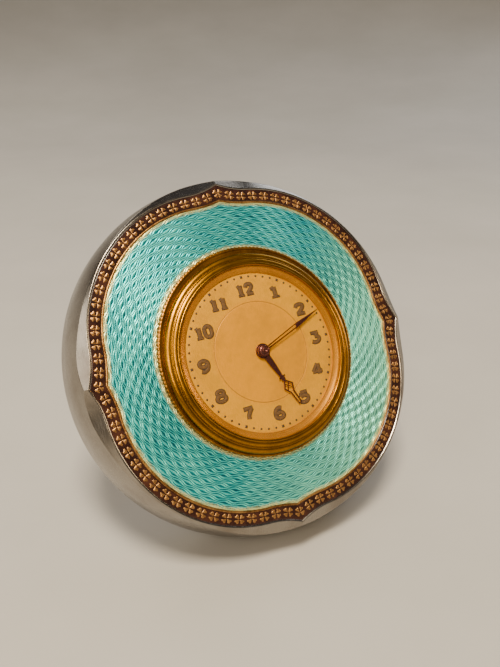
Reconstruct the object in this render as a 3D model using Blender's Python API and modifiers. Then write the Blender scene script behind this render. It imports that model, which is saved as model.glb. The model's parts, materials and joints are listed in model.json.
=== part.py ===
"""Enamelled strut clock: silver drum case, gilt bezel, eight-day movement, folding strut.

The clock is modelled in the frame of its face: x to three o'clock, y to twelve
o'clock, z out of the enamel, with z = 0 on the enamel's surface. The face frame
leans back on the strut, and at the end the whole clock is set with the middle of
its footprint over the origin and its standing flat on z = 0.
"""

import math

import bmesh
import bpy
from mathutils import Matrix, Vector

mm = 0.001

# Case and posture
face_radius = 48.0 * mm
lean_deg = 31.5
strut_open_deg = 45.0
movement_drop = 0.7 * mm
part_gap = 0.3 * mm
seat_gap = 0.1 * mm
run_gap = 0.1 * mm
cut_overrun = 5.0 * mm

# Outline of the face: four lobes with a pointed cusp at 12, 3, 6 and 9
lobe_centre_share = 0.20
lobe_radius_share = 0.81
cusp_rise_share = 0.061
cusp_half_width_deg = 11.5
station_shares = (0.0, 0.08, 0.17, 0.28, 0.48, 0.74)

# Drum case
rim_width = 0.8 * mm
rim_height = 0.25 * mm
case_depth = 25.8 * mm
case_bulge = 1.62 * mm
case_back_rounding = 8.65 * mm
scoop_slope_share = 1.3
case_wall = 0.9 * mm
plate_ledge = 1.2 * mm
stand_flat_depth = 0.25 * mm
# Share of the depth, share of the bulge, share of the rounding towards the back
drum_shares = (
    (0.031, 0.12, 0.00),
    (0.085, 0.30, 0.00),
    (0.190, 0.60, 0.00),
    (0.400, 1.00, 0.00),
    (0.580, 1.00, 0.01),
    (0.760, 1.00, 0.14),
    (0.920, 1.00, 0.46),
    (1.000, 1.00, 1.00),
)

# Face: silver plate, black border enamel, gold fillet, turquoise enamel
enamel_thickness = 0.5 * mm
face_plate_thickness = 1.0 * mm
border_width = 3.26 * mm
cusp_border_extra = 0.85 * mm
fillet_width = 0.55 * mm
enamel_seam = 0.1 * mm
face_hole_clearance = 1.0 * mm

# Bezel, seen from the front
coin_ring_overhang = 1.5 * mm
coin_ring_height = 1.3 * mm
coin_ring_teeth = 48
coin_tooth_depth = 0.35 * mm
bezel_overhang = 2.5 * mm
bezel_height = 2.3 * mm
bezel_lip_inset = 1.3 * mm
# Share of the way from outer edge to lip, share of the bezel's height
bezel_shares = (
    (0.00, 0.12),
    (0.40, 0.62),
    (0.45, 0.70),
    (0.52, 0.72),
    (0.92, 1.00),
    (1.00, 0.97),
)
bezel_bore_inset = 0.7 * mm

# Dial, crystal and hands
dial_clearance = 0.4 * mm
dial_thickness = 0.5 * mm
dial_height = 2.2 * mm
dial_hole_radius = 1.9 * mm
reflector_width = 1.9 * mm
dial_foot_radius = 0.5 * mm
dial_foot_inset = 3.4 * mm
dial_foot_angles = (100.0, 225.0, 350.0)
reflector_edge = 0.15 * mm
reflector_rise = 0.75 * mm
reflector_top_width = 0.8 * mm
crystal_thickness = 0.45 * mm
crystal_rise = 2.3 * mm
shown_hour = 5
shown_minute = 11.3
hand_thickness = 0.25 * mm
hour_hand_lift = 0.5 * mm
hand_step = 0.35 * mm
hub_proud = 0.05 * mm
minute_hand_share = 0.9595
hour_hand_share = 0.8108
minute_hub_radius_share = 0.06890
hour_hub_radius_share = 0.08268
hand_cap_radius_share = 0.05906
hand_cap_height = 0.9 * mm

# Movement case and plates
movement_case_radius = 25.4 * mm
movement_case_wall = 0.6 * mm
movement_case_base = 0.8 * mm
movement_case_stand = 0.5 * mm
plate_thickness = 1.2 * mm
front_plate_level = -1.4 * mm
plate_spacing = 13.6 * mm
pillar_radius_share = 0.05906
pillar_circle_share = 0.83858
pillar_angles = (75.0, 150.0, 262.0, 330.0)
screw_head_radius = 1.5 * mm
screw_head_height = 0.9 * mm
screw_slot_width = 0.35 * mm
screw_slot_depth = 0.35 * mm

# Case back
case_back_thickness = 0.8 * mm
case_back_inset = 1.25 * mm
case_back_seat = 3.5 * mm
back_screw_inset = 1.6 * mm
back_screw_radius = 1.1 * mm
back_screw_height = 0.5 * mm
retaining_ring_width = 2.5 * mm
retaining_ring_height = 1.0 * mm

# Toothed wheels: tooth height above and below the pitch circle, in modules
addendum_share = 0.75
dedendum_share = 1.20
wheel_thickness = 0.8 * mm
arbor_radius_share = 0.01969
motion_module_share = 0.01417
cannon_teeth = 10
minute_wheel_teeth = 30
minute_pinion_teeth = 8
hour_wheel_teeth = 32
setting_teeth = 10
cannon_pipe_radius_share = 0.03937
hour_pipe_radius_share = 0.06299
minute_wheel_angle = -10.0
setting_angle = -10.0
centre_pinion_teeth = 10
barrel_teeth = 48
barrel_module_share = 0.01732
barrel_angle = 195.0
barrel_wall = 0.8 * mm
barrel_cover_thickness = 0.6 * mm
centre_wheel_teeth = 40
third_pinion_teeth = 8
centre_module_share = 0.01496
third_angle = 35.0
third_wheel_teeth = 40
fourth_pinion_teeth = 8
third_module_share = 0.01220
fourth_angle = 110.0
fourth_wheel_teeth = 36
escape_pinion_teeth = 6
fourth_module_share = 0.01142
escape_angle = 176.0
escape_wheel_teeth = 15
escape_wheel_radius_share = 0.12992
pallet_distance_share = 0.16535
pallet_angle = 160.0
balance_distance_share = 0.16929
balance_angle = 158.0
balance_radius_share = 0.23622
balance_rim_width_share = 0.03150
roller_radius_share = 0.03543
fork_nib_reach_share = 0.04134
ratchet_radius_share = 0.19685
ratchet_teeth = 24
ratchet_depth_share = 0.02362
click_pivot_angle = 250.0
click_pivot_distance_share = 0.28346
click_length_share = 0.20472
click_pivot_radius_share = 0.03937
click_spring_thickness = 0.4 * mm
winding_arbor_radius_share = 0.05118
mainspring_thickness = 0.45 * mm
mainspring_turns = 4
hairspring_thickness = 0.14 * mm
hairspring_turns = 3
regulator_length_share = 0.19685
cock_width_share = 0.09449
cock_foot_angle = 34.0
cock_foot_reach_share = 0.34646

# Winding key and setting knob at the back
key_hub_radius = 2.6 * mm
key_hub_height = 2.4 * mm
key_bow_radius = 5.0 * mm
key_bow_tube = 0.7 * mm
knob_radius = 3.6 * mm
knob_height = 2.8 * mm
knob_flutes = 18
knob_flute_depth = 0.3 * mm

# Strut and its hinge
hinge_clearance = 1.1 * mm
hinge_plate_width = 16.0 * mm
hinge_plate_length = 5.0 * mm
hinge_plate_thickness = 0.8 * mm
knuckle_radius = 1.5 * mm
knuckle_lift = 1.8 * mm
strut_knuckle_width = 6.0 * mm
hinge_pin_radius = 0.6 * mm
strut_thickness = 1.4 * mm
strut_width = 10.0 * mm
strut_foot_width = 22.0 * mm
strut_foot_length = 9.0 * mm

# Facet counts of round pieces
large_facets = 40
medium_facets = 24
small_facets = 12
tiny_facets = 8

lean = math.radians(lean_deg)
lobe_centre = face_radius * lobe_centre_share
lobe_radius = face_radius * lobe_radius_share
rim_radius = lobe_centre + lobe_radius + rim_width
case_back_radius = rim_radius + case_bulge - case_back_rounding - case_back_inset
case_back_opening_radius = case_back_radius - case_back_seat
back_screw_circle = case_back_radius - back_screw_inset
quarter = math.pi / 2

# Sizes that follow the movement case
coin_ring_inner_radius = movement_case_radius + face_hole_clearance
face_hole_radius = coin_ring_inner_radius
bezel_radius = movement_case_radius + bezel_overhang
coin_ring_radius = bezel_radius + coin_ring_overhang
bezel_lip_radius = movement_case_radius - bezel_lip_inset
bezel_bore_radius = movement_case_radius - bezel_bore_inset
dial_radius = movement_case_radius - movement_case_wall - dial_clearance
dial_view_radius = bezel_lip_radius - reflector_width
dial_foot_circle = dial_radius - dial_foot_inset
minute_hand_length = dial_view_radius * minute_hand_share
hour_hand_length = dial_view_radius * hour_hand_share
retaining_ring_radius = movement_case_radius + part_gap + retaining_ring_width
hinge_offset = retaining_ring_radius + hinge_clearance + hinge_plate_length / 2
minute_hub_radius = movement_case_radius * minute_hub_radius_share
hour_hub_radius = movement_case_radius * hour_hub_radius_share
hand_cap_radius = movement_case_radius * hand_cap_radius_share
pillar_radius = movement_case_radius * pillar_radius_share
pillar_circle = movement_case_radius * pillar_circle_share
arbor_radius = movement_case_radius * arbor_radius_share
motion_module = movement_case_radius * motion_module_share
cannon_pipe_radius = movement_case_radius * cannon_pipe_radius_share
hour_pipe_radius = movement_case_radius * hour_pipe_radius_share
barrel_module = movement_case_radius * barrel_module_share
centre_module = movement_case_radius * centre_module_share
third_module = movement_case_radius * third_module_share
fourth_module = movement_case_radius * fourth_module_share
escape_wheel_radius = movement_case_radius * escape_wheel_radius_share
pallet_distance = movement_case_radius * pallet_distance_share
balance_distance = movement_case_radius * balance_distance_share
balance_radius = movement_case_radius * balance_radius_share
balance_rim_width = movement_case_radius * balance_rim_width_share
roller_radius = movement_case_radius * roller_radius_share
fork_nib_reach = movement_case_radius * fork_nib_reach_share
ratchet_radius = movement_case_radius * ratchet_radius_share
ratchet_depth = movement_case_radius * ratchet_depth_share
click_pivot_distance = movement_case_radius * click_pivot_distance_share
click_length = movement_case_radius * click_length_share
click_pivot_radius = movement_case_radius * click_pivot_radius_share
winding_arbor_radius = movement_case_radius * winding_arbor_radius_share
cock_foot_reach = movement_case_radius * cock_foot_reach_share
cock_width = movement_case_radius * cock_width_share
regulator_length = movement_case_radius * regulator_length_share


def clear_scene():
    """Remove whatever the file opened with."""
    for thing in list(bpy.data.objects):
        bpy.data.objects.remove(thing, do_unlink=True)


def make_collection(name):
    """Add a named collection to the scene and return it."""
    collection = bpy.data.collections.new(name)
    bpy.context.scene.collection.children.link(collection)
    return collection


clear_scene()
clock_parts = make_collection("enamel_clock")
cutters = make_collection("cutters")
materials = {}


def add_material(name, colour, roughness, metallic, alpha=1.0):
    """Make one Principled finish and keep it by name."""
    finish = bpy.data.materials.new(name)
    finish.use_nodes = True
    shader = finish.node_tree.nodes["Principled BSDF"]
    shader.inputs["Base Color"].default_value = (*colour, 1.0)
    shader.inputs["Roughness"].default_value = roughness
    shader.inputs["Metallic"].default_value = metallic
    shader.inputs["Alpha"].default_value = alpha
    materials[name] = finish


add_material("silver", (0.78, 0.76, 0.72), 0.18, 1.0)
add_material("turquoise_enamel", (0.10, 0.48, 0.46), 0.12, 0.0)
add_material("border_enamel", (0.05, 0.02, 0.015), 0.15, 0.0)
add_material("gold", (0.72, 0.48, 0.20), 0.25, 1.0)
add_material("gilt_bezel", (0.70, 0.42, 0.12), 0.22, 1.0)
add_material("gilt_dial", (0.85, 0.60, 0.26), 0.42, 1.0)
add_material("blued_steel", (0.12, 0.03, 0.03), 0.22, 1.0)
add_material("steel", (0.55, 0.55, 0.57), 0.25, 1.0)
add_material("brass", (0.74, 0.55, 0.22), 0.30, 1.0)
add_material("glass", (0.95, 0.97, 0.97), 0.02, 0.0, 0.15)


def empty(name, parent, location=(0.0, 0.0, 0.0), rotation=(0.0, 0.0, 0.0)):
    """Make an axis that pieces hang on."""
    axis = bpy.data.objects.new(name, None)
    clock_parts.objects.link(axis)
    axis.parent = parent
    axis.location = location
    axis.rotation_euler = rotation
    return axis


def add_piece(name, data, finish, parent, location=(0.0, 0.0, 0.0)):
    """Link one solid to the clock, dressed and parented."""
    piece = bpy.data.objects.new(name, data)
    clock_parts.objects.link(piece)
    data.materials.append(materials[finish])
    piece.parent = parent
    piece.location = location
    return piece


def as_cutter(tool):
    """Turn a solid into a tool that the build leaves out."""
    for collection in list(tool.users_collection):
        collection.objects.unlink(tool)
    cutters.objects.link(tool)
    tool.hide_render = True
    tool.display_type = "WIRE"


def combine(piece, tool, operation):
    """Join a tool to a piece or cut the piece with it, leaving the tool as a guide."""
    as_cutter(tool)
    modifier = piece.modifiers.new(operation.lower(), "BOOLEAN")
    modifier.operation = operation
    modifier.object = tool


def circle(radius, count, centre=(0.0, 0.0), phase=0.0):
    """Corners of a regular polygon."""
    return [
        (
            centre[0] + radius * math.cos(phase + 2 * math.pi * i / count),
            centre[1] + radius * math.sin(phase + 2 * math.pi * i / count),
        )
        for i in range(count)
    ]


def flat(name, outlines, low, high, finish, parent, location=(0.0, 0.0, 0.0)):
    """Extrude closed outlines between two levels; inner outlines are holes."""
    curve = bpy.data.curves.new(name, "CURVE")
    curve.dimensions = "2D"
    curve.fill_mode = "BOTH"
    curve.extrude = (high - low) / 2
    for outline in outlines:
        spline = curve.splines.new("POLY")
        spline.points.add(len(outline) - 1)
        for point, (x, y) in zip(spline.points, outline):
            point.co = (x, y, 0.0, 1.0)
        spline.use_cyclic_u = True
    place = (location[0], location[1], location[2] + (low + high) / 2)
    return add_piece(name, curve, finish, parent, place)


def as_mesh(piece):
    """Replace a curve by its own welded mesh, so that it can be cut or joined."""
    bpy.context.view_layer.update()
    graph = bpy.context.evaluated_depsgraph_get()
    mesh = bpy.data.meshes.new_from_object(piece.evaluated_get(graph))
    shell = bmesh.new()
    shell.from_mesh(mesh)
    bmesh.ops.remove_doubles(shell, verts=shell.verts, dist=weld_distance)
    shell.to_mesh(mesh)
    shell.free()
    name = piece.name
    finish = piece.data.materials[0]
    solid = bpy.data.objects.new(name + "_solid", mesh)
    clock_parts.objects.link(solid)
    mesh.materials.clear()
    mesh.materials.append(finish)
    solid.parent = piece.parent
    solid.matrix_world = piece.matrix_world
    bpy.data.objects.remove(piece, do_unlink=True)
    solid.name = name
    return solid


weld_distance = 0.005 * mm


def turned(name, profile, facets, finish, parent, closed=False, location=(0.0, 0.0, 0.0), phase=0.0):
    """Turn a profile of (radius, level) about z; its outer side runs top to bottom."""
    mesh = bpy.data.meshes.new(name)
    points = [(r * math.cos(phase), r * math.sin(phase), z) for r, z in profile]
    edges = [(i, i + 1) for i in range(len(points) - 1)]
    if closed:
        edges.append((len(points) - 1, 0))
    mesh.from_pydata(points, edges, [])
    piece = add_piece(name, mesh, finish, parent, location)
    spin = piece.modifiers.new("turn", "SCREW")
    spin.axis = "Z"
    spin.steps = facets
    spin.render_steps = facets
    spin.use_merge_vertices = True
    spin.merge_threshold = weld_distance
    spin.use_smooth_shade = True
    return piece


def ring_profile(outer, inner, low, high):
    """Closed profile of a plain ring."""
    return [(inner, high), (outer, high), (outer, low), (inner, low)]


def rod(name, radius, low, high, facets, finish, parent, location=(0.0, 0.0, 0.0), phase=0.0):
    """A plain round bar along z between two levels."""
    mesh = bpy.data.meshes.new(name)
    shape = bmesh.new()
    bmesh.ops.create_cone(
        shape,
        cap_ends=True,
        segments=facets,
        radius1=radius,
        radius2=radius,
        depth=high - low,
        matrix=Matrix.Translation((0.0, 0.0, (low + high) / 2)) @ Matrix.Rotation(phase, 4, "Z"),
    )
    shape.to_mesh(mesh)
    shape.free()
    mesh.shade_smooth()
    mesh.set_sharp_from_angle(angle=quarter / 2)
    return add_piece(name, mesh, finish, parent, location)


def block(name, size, centre, finish, parent):
    """A rectangular block from a cube primitive."""
    mesh = bpy.data.meshes.new(name)
    shape = bmesh.new()
    bmesh.ops.create_cube(shape, size=1.0, matrix=Matrix.Diagonal((*size, 1.0)))
    shape.to_mesh(mesh)
    shape.free()
    return add_piece(name, mesh, finish, parent, centre)


def polar(radius, degrees, centre=(0.0, 0.0)):
    """Point at a radius and an angle from three o'clock."""
    angle = math.radians(degrees)
    return (centre[0] + radius * math.cos(angle), centre[1] + radius * math.sin(angle))


def face_outline_radius(angle):
    """Radius of the enamel's outline: a lobe arc, lifted to a point near each cusp."""
    from_cusp = (angle + quarter / 2) % quarter - quarter / 2
    across = math.radians(45.0) - abs(from_cusp)
    lobe = lobe_centre * math.cos(across)
    lobe += math.sqrt(lobe_radius**2 - (lobe_centre * math.sin(across)) ** 2)
    return lobe + face_radius * cusp_rise_share * cusp_falloff(from_cusp)


def cusp_falloff(from_cusp):
    """One at a cusp, falling as a square to zero at the cusp's half width."""
    share = abs(from_cusp) / math.radians(cusp_half_width_deg)
    return max(0.0, 1.0 - share) ** 2


def border_inner_radius(angle):
    """Inner edge of the border enamel, which is a little wider at each cusp."""
    from_cusp = (angle + quarter / 2) % quarter - quarter / 2
    extra = cusp_border_extra * cusp_falloff(from_cusp)
    return face_outline_radius(angle) - border_width - extra


def face_stations():
    """Angles round the face, closer together near the cusps, which all lie on one."""
    half = quarter / 2
    rising = [share * half for share in station_shares]
    quadrant = rising + [half] + [quarter - angle for angle in reversed(rising[1:])]
    return [start * quarter + angle for start in range(4) for angle in quadrant]


stations = face_stations()


def face_outline(radius_at, offset):
    """Closed outline that follows a radius function, moved inwards by an offset."""
    return [
        ((radius_at(a) - offset) * math.cos(a), (radius_at(a) - offset) * math.sin(a))
        for a in stations
    ]


def drum_radius(angle, depth, bulge_share, rounding_share):
    """Radius of the turned drum, cut back to the scoops that flare from the face outline."""
    turned_radius = rim_radius + case_bulge * bulge_share - case_back_rounding * rounding_share
    scoop_radius = face_outline_radius(angle) + rim_width + scoop_slope_share * depth
    return min(turned_radius, scoop_radius)


def case_rings():
    """Rings of the drum case from its front lip over the outside, back and inside."""
    plate_level = -enamel_thickness - face_plate_thickness - part_gap
    ledge_level = plate_level - case_wall
    inner_back = -case_depth + case_wall
    outside = [(share * case_depth, bulge, rounding) for share, bulge, rounding in drum_shares]
    rings = [[(face_outline_radius(a) + rim_width / 2, rim_height) for a in stations]]
    rings.append([(face_outline_radius(a) + rim_width, 0.0) for a in stations])
    for depth, bulge, rounding in outside:
        rings.append([(drum_radius(a, depth, bulge, rounding), -depth) for a in stations])
    rings.append([(case_back_opening_radius, -case_depth) for a in stations])
    rings.append([(case_back_opening_radius, inner_back) for a in stations])
    for depth, bulge, rounding in reversed(outside[2:]):
        level = max(-depth, inner_back)
        rings.append([(drum_radius(a, depth, bulge, rounding) - case_wall, level) for a in stations])
    rings.append([(face_outline_radius(a) - plate_ledge, ledge_level) for a in stations])
    rings.append([(face_outline_radius(a) - plate_ledge, plate_level) for a in stations])
    rings.append([(face_outline_radius(a), plate_level) for a in stations])
    rings.append([(face_outline_radius(a), rim_height) for a in stations])
    return rings


def loft_rings(name, rings, finish, parent):
    """Closed loft through rings that share the face's stations; the last meets the first."""
    shape = bmesh.new()
    loops = []
    for ring in rings:
        loops.append(
            [shape.verts.new((r * math.cos(a), r * math.sin(a), z)) for a, (r, z) in zip(stations, ring)]
        )
    count = len(stations)
    for i, upper in enumerate(loops):
        lower = loops[(i + 1) % len(loops)]
        for j in range(count):
            k = (j + 1) % count
            shape.faces.new((upper[j], lower[j], lower[k], upper[k]))
    bmesh.ops.recalc_face_normals(shape, faces=shape.faces)
    mesh = bpy.data.meshes.new(name)
    shape.to_mesh(mesh)
    shape.free()
    mesh.shade_smooth()
    mesh.set_sharp_from_angle(angle=quarter / 2)
    return add_piece(name, mesh, finish, parent)


def gear_outline(teeth, module, phase):
    """Pointed teeth between a root and a tip circle; a tooth stands at the phase angle."""
    tip = module * (teeth / 2 + addendum_share)
    root = module * (teeth / 2 - dedendum_share)
    step = 2 * math.pi / teeth
    points = []
    for i in range(teeth):
        points.append((tip * math.cos(phase + i * step), tip * math.sin(phase + i * step)))
        valley = phase + (i + 0.5) * step
        points.append((root * math.cos(valley), root * math.sin(valley)))
    return points


def mesh_phase(phase, teeth, direction, partner_teeth):
    """Tooth phase of a partner in mesh, seen from a gear in the given direction."""
    step = 2 * math.pi / teeth
    shift = (phase - direction + step / 2) % step - step / 2
    valley = direction + math.pi - shift * teeth / partner_teeth
    return valley + math.pi / partner_teeth


def centre_distance(module, teeth, partner_teeth):
    """Distance between two arbors whose wheels mesh."""
    return module * (teeth + partner_teeth) / 2


def toothed(name, teeth, module, phase, level, thickness, parent, holes=(), finish="brass"):
    """A toothed plate whose top lies at a level."""
    outlines = [gear_outline(teeth, module, phase), *holes]
    return flat(name, outlines, level - thickness, level, finish, parent)


def arbor_with_wheels(name, finish, parent, low, high, wheels):
    """A staff with its wheel and pinion, joined to one body."""
    staff = rod(name, arbor_radius, low, high, tiny_facets, finish, parent)
    for i, (teeth, module, phase, level, thickness) in enumerate(wheels):
        wheel = toothed(f"{name}_tool_{i}", teeth, module, phase, level, thickness, parent)
        combine(staff, as_mesh(wheel), "UNION")
    return staff


def slotted_screw(name, centre, radius, height, level, finish, parent):
    """A screw head that stands on a level facing the back, with its slot."""
    head = rod(name, radius, level - height, level, small_facets, finish, parent, (*centre, 0.0))
    slot = block(
        name + "_slot",
        (radius * 2 + cut_overrun, screw_slot_width, screw_slot_depth * 2),
        (*centre, level - height),
        finish,
        parent,
    )
    combine(head, slot, "DIFFERENCE")
    return head


# Frames: the whole clock, its leaning face, and the axis of the movement
clock = empty("clock", None)
face = empty("face", clock, rotation=(quarter - lean, 0.0, 0.0))
movement = empty("movement", face, location=(0.0, -movement_drop, 0.0))


def height_over_centre(y, z):
    """Height of a point of the face frame above the face's centre."""
    return y * math.cos(lean) + z * math.sin(lean)


bottom_angle = -quarter
lowest_of_case = min(
    height_over_centre(-drum_radius(bottom_angle, share * case_depth, bulge, rounding), -share * case_depth)
    for share, bulge, rounding in drum_shares
)
ground_height = lowest_of_case + stand_flat_depth


def ground_cutter(name):
    """Everything below the table, as a tool in the clock's own frame."""
    size = 4 * face_radius
    tool = block(name, (size, size, size), (0.0, 0.0, ground_height - size / 2), "silver", clock)
    return tool


# Levels behind the enamel
case_back_level = -case_depth - seat_gap
case_back_rear = case_back_level - case_back_thickness
movement_case_rear = case_back_rear - movement_case_stand
front_plate_rear = front_plate_level - plate_thickness
rear_plate_level = front_plate_rear - plate_spacing
rear_plate_rear = rear_plate_level - plate_thickness


def build_case():
    """Silver drum, back cover with its screws, and the enamelled face."""
    case = loft_rings("case_body", case_rings(), "silver", face)
    combine(case, ground_cutter("case_table_tool"), "DIFFERENCE")

    plate_top = -enamel_thickness - seat_gap
    plate_low = -enamel_thickness - face_plate_thickness
    hole = circle(face_hole_radius, large_facets)
    flat("face_plate", [face_outline(face_outline_radius, part_gap), hole], plate_low, plate_top, "silver", face)
    flat(
        "border_enamel",
        [face_outline(face_outline_radius, enamel_seam), face_outline(border_inner_radius, 0.0)],
        -enamel_thickness,
        0.0,
        "border_enamel",
        face,
    )
    fillet_outer = face_outline(border_inner_radius, enamel_seam)
    fillet_inner = face_outline(border_inner_radius, enamel_seam + fillet_width)
    flat("gold_fillet", [fillet_outer, fillet_inner], -enamel_thickness, seat_gap, "gold", face)
    panel_offset = fillet_width + 2 * enamel_seam
    flat(
        "enamel_panel",
        [face_outline(border_inner_radius, panel_offset), hole],
        -enamel_thickness,
        0.0,
        "turquoise_enamel",
        face,
    )

    back_hole = circle(movement_case_radius + part_gap, large_facets, (0.0, -movement_drop))
    flat(
        "case_back",
        [circle(case_back_radius, large_facets), back_hole],
        case_back_rear,
        case_back_level,
        "silver",
        face,
    )
    for i in range(4):
        centre = polar(back_screw_circle, 45.0 + 90.0 * i)
        level = case_back_rear - seat_gap
        slotted_screw(f"back_screw_{i + 1}", centre, back_screw_radius, back_screw_height, level, "silver", face)


def build_strut():
    """Hinge bracket, pin and the leg that holds the clock up."""
    axis_level = case_back_rear - seat_gap - hinge_plate_thickness - knuckle_lift
    hinge = empty("strut_axis", face, (0.0, hinge_offset, axis_level))
    plate_level = knuckle_lift + hinge_plate_thickness / 2
    bracket = block(
        "hinge_bracket",
        (hinge_plate_width, hinge_plate_length, hinge_plate_thickness),
        (0.0, 0.0, plate_level),
        "silver",
        hinge,
    )
    side_width = (hinge_plate_width - strut_knuckle_width) / 2 - part_gap
    side_centre = (strut_knuckle_width + side_width) / 2 + part_gap
    for side in (-1, 1):
        cheek = block(
            f"bracket_cheek_{side}",
            (side_width - 2 * seat_gap, 2 * knuckle_radius, knuckle_lift + hinge_plate_thickness / 2),
            (side * side_centre, 0.0, (knuckle_lift + hinge_plate_thickness / 2) / 2),
            "silver",
            hinge,
        )
        combine(bracket, cheek, "UNION")
        knuckle = along_x(f"bracket_knuckle_{side}", knuckle_radius, side_width, side * side_centre, hinge)
        combine(bracket, knuckle, "UNION")
    bore = along_x("bracket_bore", hinge_pin_radius + run_gap, hinge_plate_width + cut_overrun, 0.0, hinge)
    combine(bracket, bore, "DIFFERENCE")
    along_x("hinge_pin", hinge_pin_radius, hinge_plate_width, 0.0, hinge, "steel")

    opened = empty("strut_open_axis", hinge, rotation=(math.radians(strut_open_deg), 0.0, 0.0))
    from_vertical = math.radians(strut_open_deg) - lean
    axis_height = height_over_centre(hinge_offset, axis_level) - ground_height
    length = axis_height / math.cos(from_vertical) + strut_thickness
    half, foot_half = strut_width / 2, strut_foot_width / 2
    neck = strut_knuckle_width / 2 - part_gap
    outline = [
        (-neck, -(knuckle_radius + hinge_pin_radius) / 2),
        (-neck, -2 * knuckle_radius),
        (-half, -4 * knuckle_radius),
        (-half, -length + 2 * strut_foot_length),
        (-foot_half, -length + strut_foot_length),
        (-foot_half, -length),
    ]
    outline += [(-x, y) for x, y in reversed(outline)]
    leg = as_mesh(flat("strut_leg", [outline], -strut_thickness / 2, strut_thickness / 2, "silver", opened))
    knuckle = along_x("strut_knuckle", knuckle_radius, strut_knuckle_width, 0.0, opened)
    combine(leg, knuckle, "UNION")
    combine(leg, along_x("strut_bore", hinge_pin_radius + run_gap, hinge_plate_width, 0.0, opened), "DIFFERENCE")
    combine(leg, ground_cutter("strut_table_tool"), "DIFFERENCE")


def along_x(name, radius, length, centre, parent, finish="silver"):
    """A round bar that lies along x, centred on its parent's axis."""
    bar = rod(name, radius, -length / 2, length / 2, small_facets, finish, parent, (centre, 0.0, 0.0))
    bar.rotation_euler = (0.0, quarter, 0.0)
    return bar


def build_bezel():
    """Coin-edged ring, stepped bezel, reflector and domed crystal."""
    coin_top = seat_gap + coin_ring_height
    edge = []
    for i in range(coin_ring_teeth):
        step = 2 * math.pi / coin_ring_teeth
        for radius, angle in ((coin_ring_radius, i * step), (coin_ring_radius - coin_tooth_depth, (i + 0.5) * step)):
            edge.append((radius * math.cos(angle), radius * math.sin(angle)))
    hole = circle(coin_ring_inner_radius, large_facets)
    flat("coin_ring", [edge, hole], seat_gap, coin_top, "gilt_bezel", face)

    base = coin_top + seat_gap
    span = bezel_radius - bezel_lip_radius
    stepped = [(bezel_radius - share * span, base + rise * bezel_height) for share, rise in bezel_shares]
    reflector_low = dial_height + seat_gap
    reflector_top = reflector_low + reflector_rise
    shoulder = reflector_top + seat_gap
    inside = [
        (bezel_lip_radius, shoulder),
        (bezel_bore_radius, shoulder),
        (bezel_bore_radius, base),
        (bezel_radius, base),
    ]
    profile = list(reversed(stepped)) + list(reversed(inside))
    turned("bezel", profile, large_facets, "gilt_bezel", movement, closed=True)

    reflector_outer = bezel_bore_radius - seat_gap
    reflector = [
        (reflector_outer, reflector_top),
        (reflector_outer, reflector_low),
        (dial_view_radius, reflector_low),
        (dial_view_radius, reflector_low + reflector_edge),
        (reflector_outer - reflector_top_width, reflector_top),
    ]
    turned("reflector_ring", reflector, large_facets, "gilt_bezel", movement, closed=True)

    glass_radius = bezel_lip_radius - seat_gap
    upper = dome_points(glass_radius, crystal_rise, shoulder + crystal_thickness)
    lower = dome_points(glass_radius, crystal_rise, shoulder)
    turned("crystal", upper + list(reversed(lower)), large_facets, "glass", movement)


dome_shares = (0.0, 0.45, 0.75, 0.92, 1.0)


def dome_points(radius, rise, level):
    """Profile points of a dome, steepest at its edge, from its crown outwards."""
    return [(share * radius, level + rise * (1.0 - share**3)) for share in dome_shares]


def hand_angle(turn_share):
    """Angle of a hand from three o'clock, counter-clockwise, for a share of a turn from twelve."""
    return quarter - 2 * math.pi * turn_share


def build_dial():
    """Dial with its three feet."""
    low = dial_height - dial_thickness
    hole = circle(dial_hole_radius, small_facets)
    dial = as_mesh(
        flat("dial", [circle(dial_radius, large_facets), hole], low, dial_height, "gilt_dial", movement)
    )
    for i, angle in enumerate(dial_foot_angles):
        centre = polar(dial_foot_circle, angle)
        top = dial_height - dial_thickness / 2
        foot = rod(
            f"dial_foot_{i}",
            dial_foot_radius,
            front_plate_level + seat_gap,
            top,
            tiny_facets,
            "brass",
            movement,
            (*centre, 0.0),
        )
        combine(dial, foot, "UNION")


hour_hand_level = dial_height + hour_hand_lift
minute_hand_level = hour_hand_level + hand_thickness + hand_step


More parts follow.
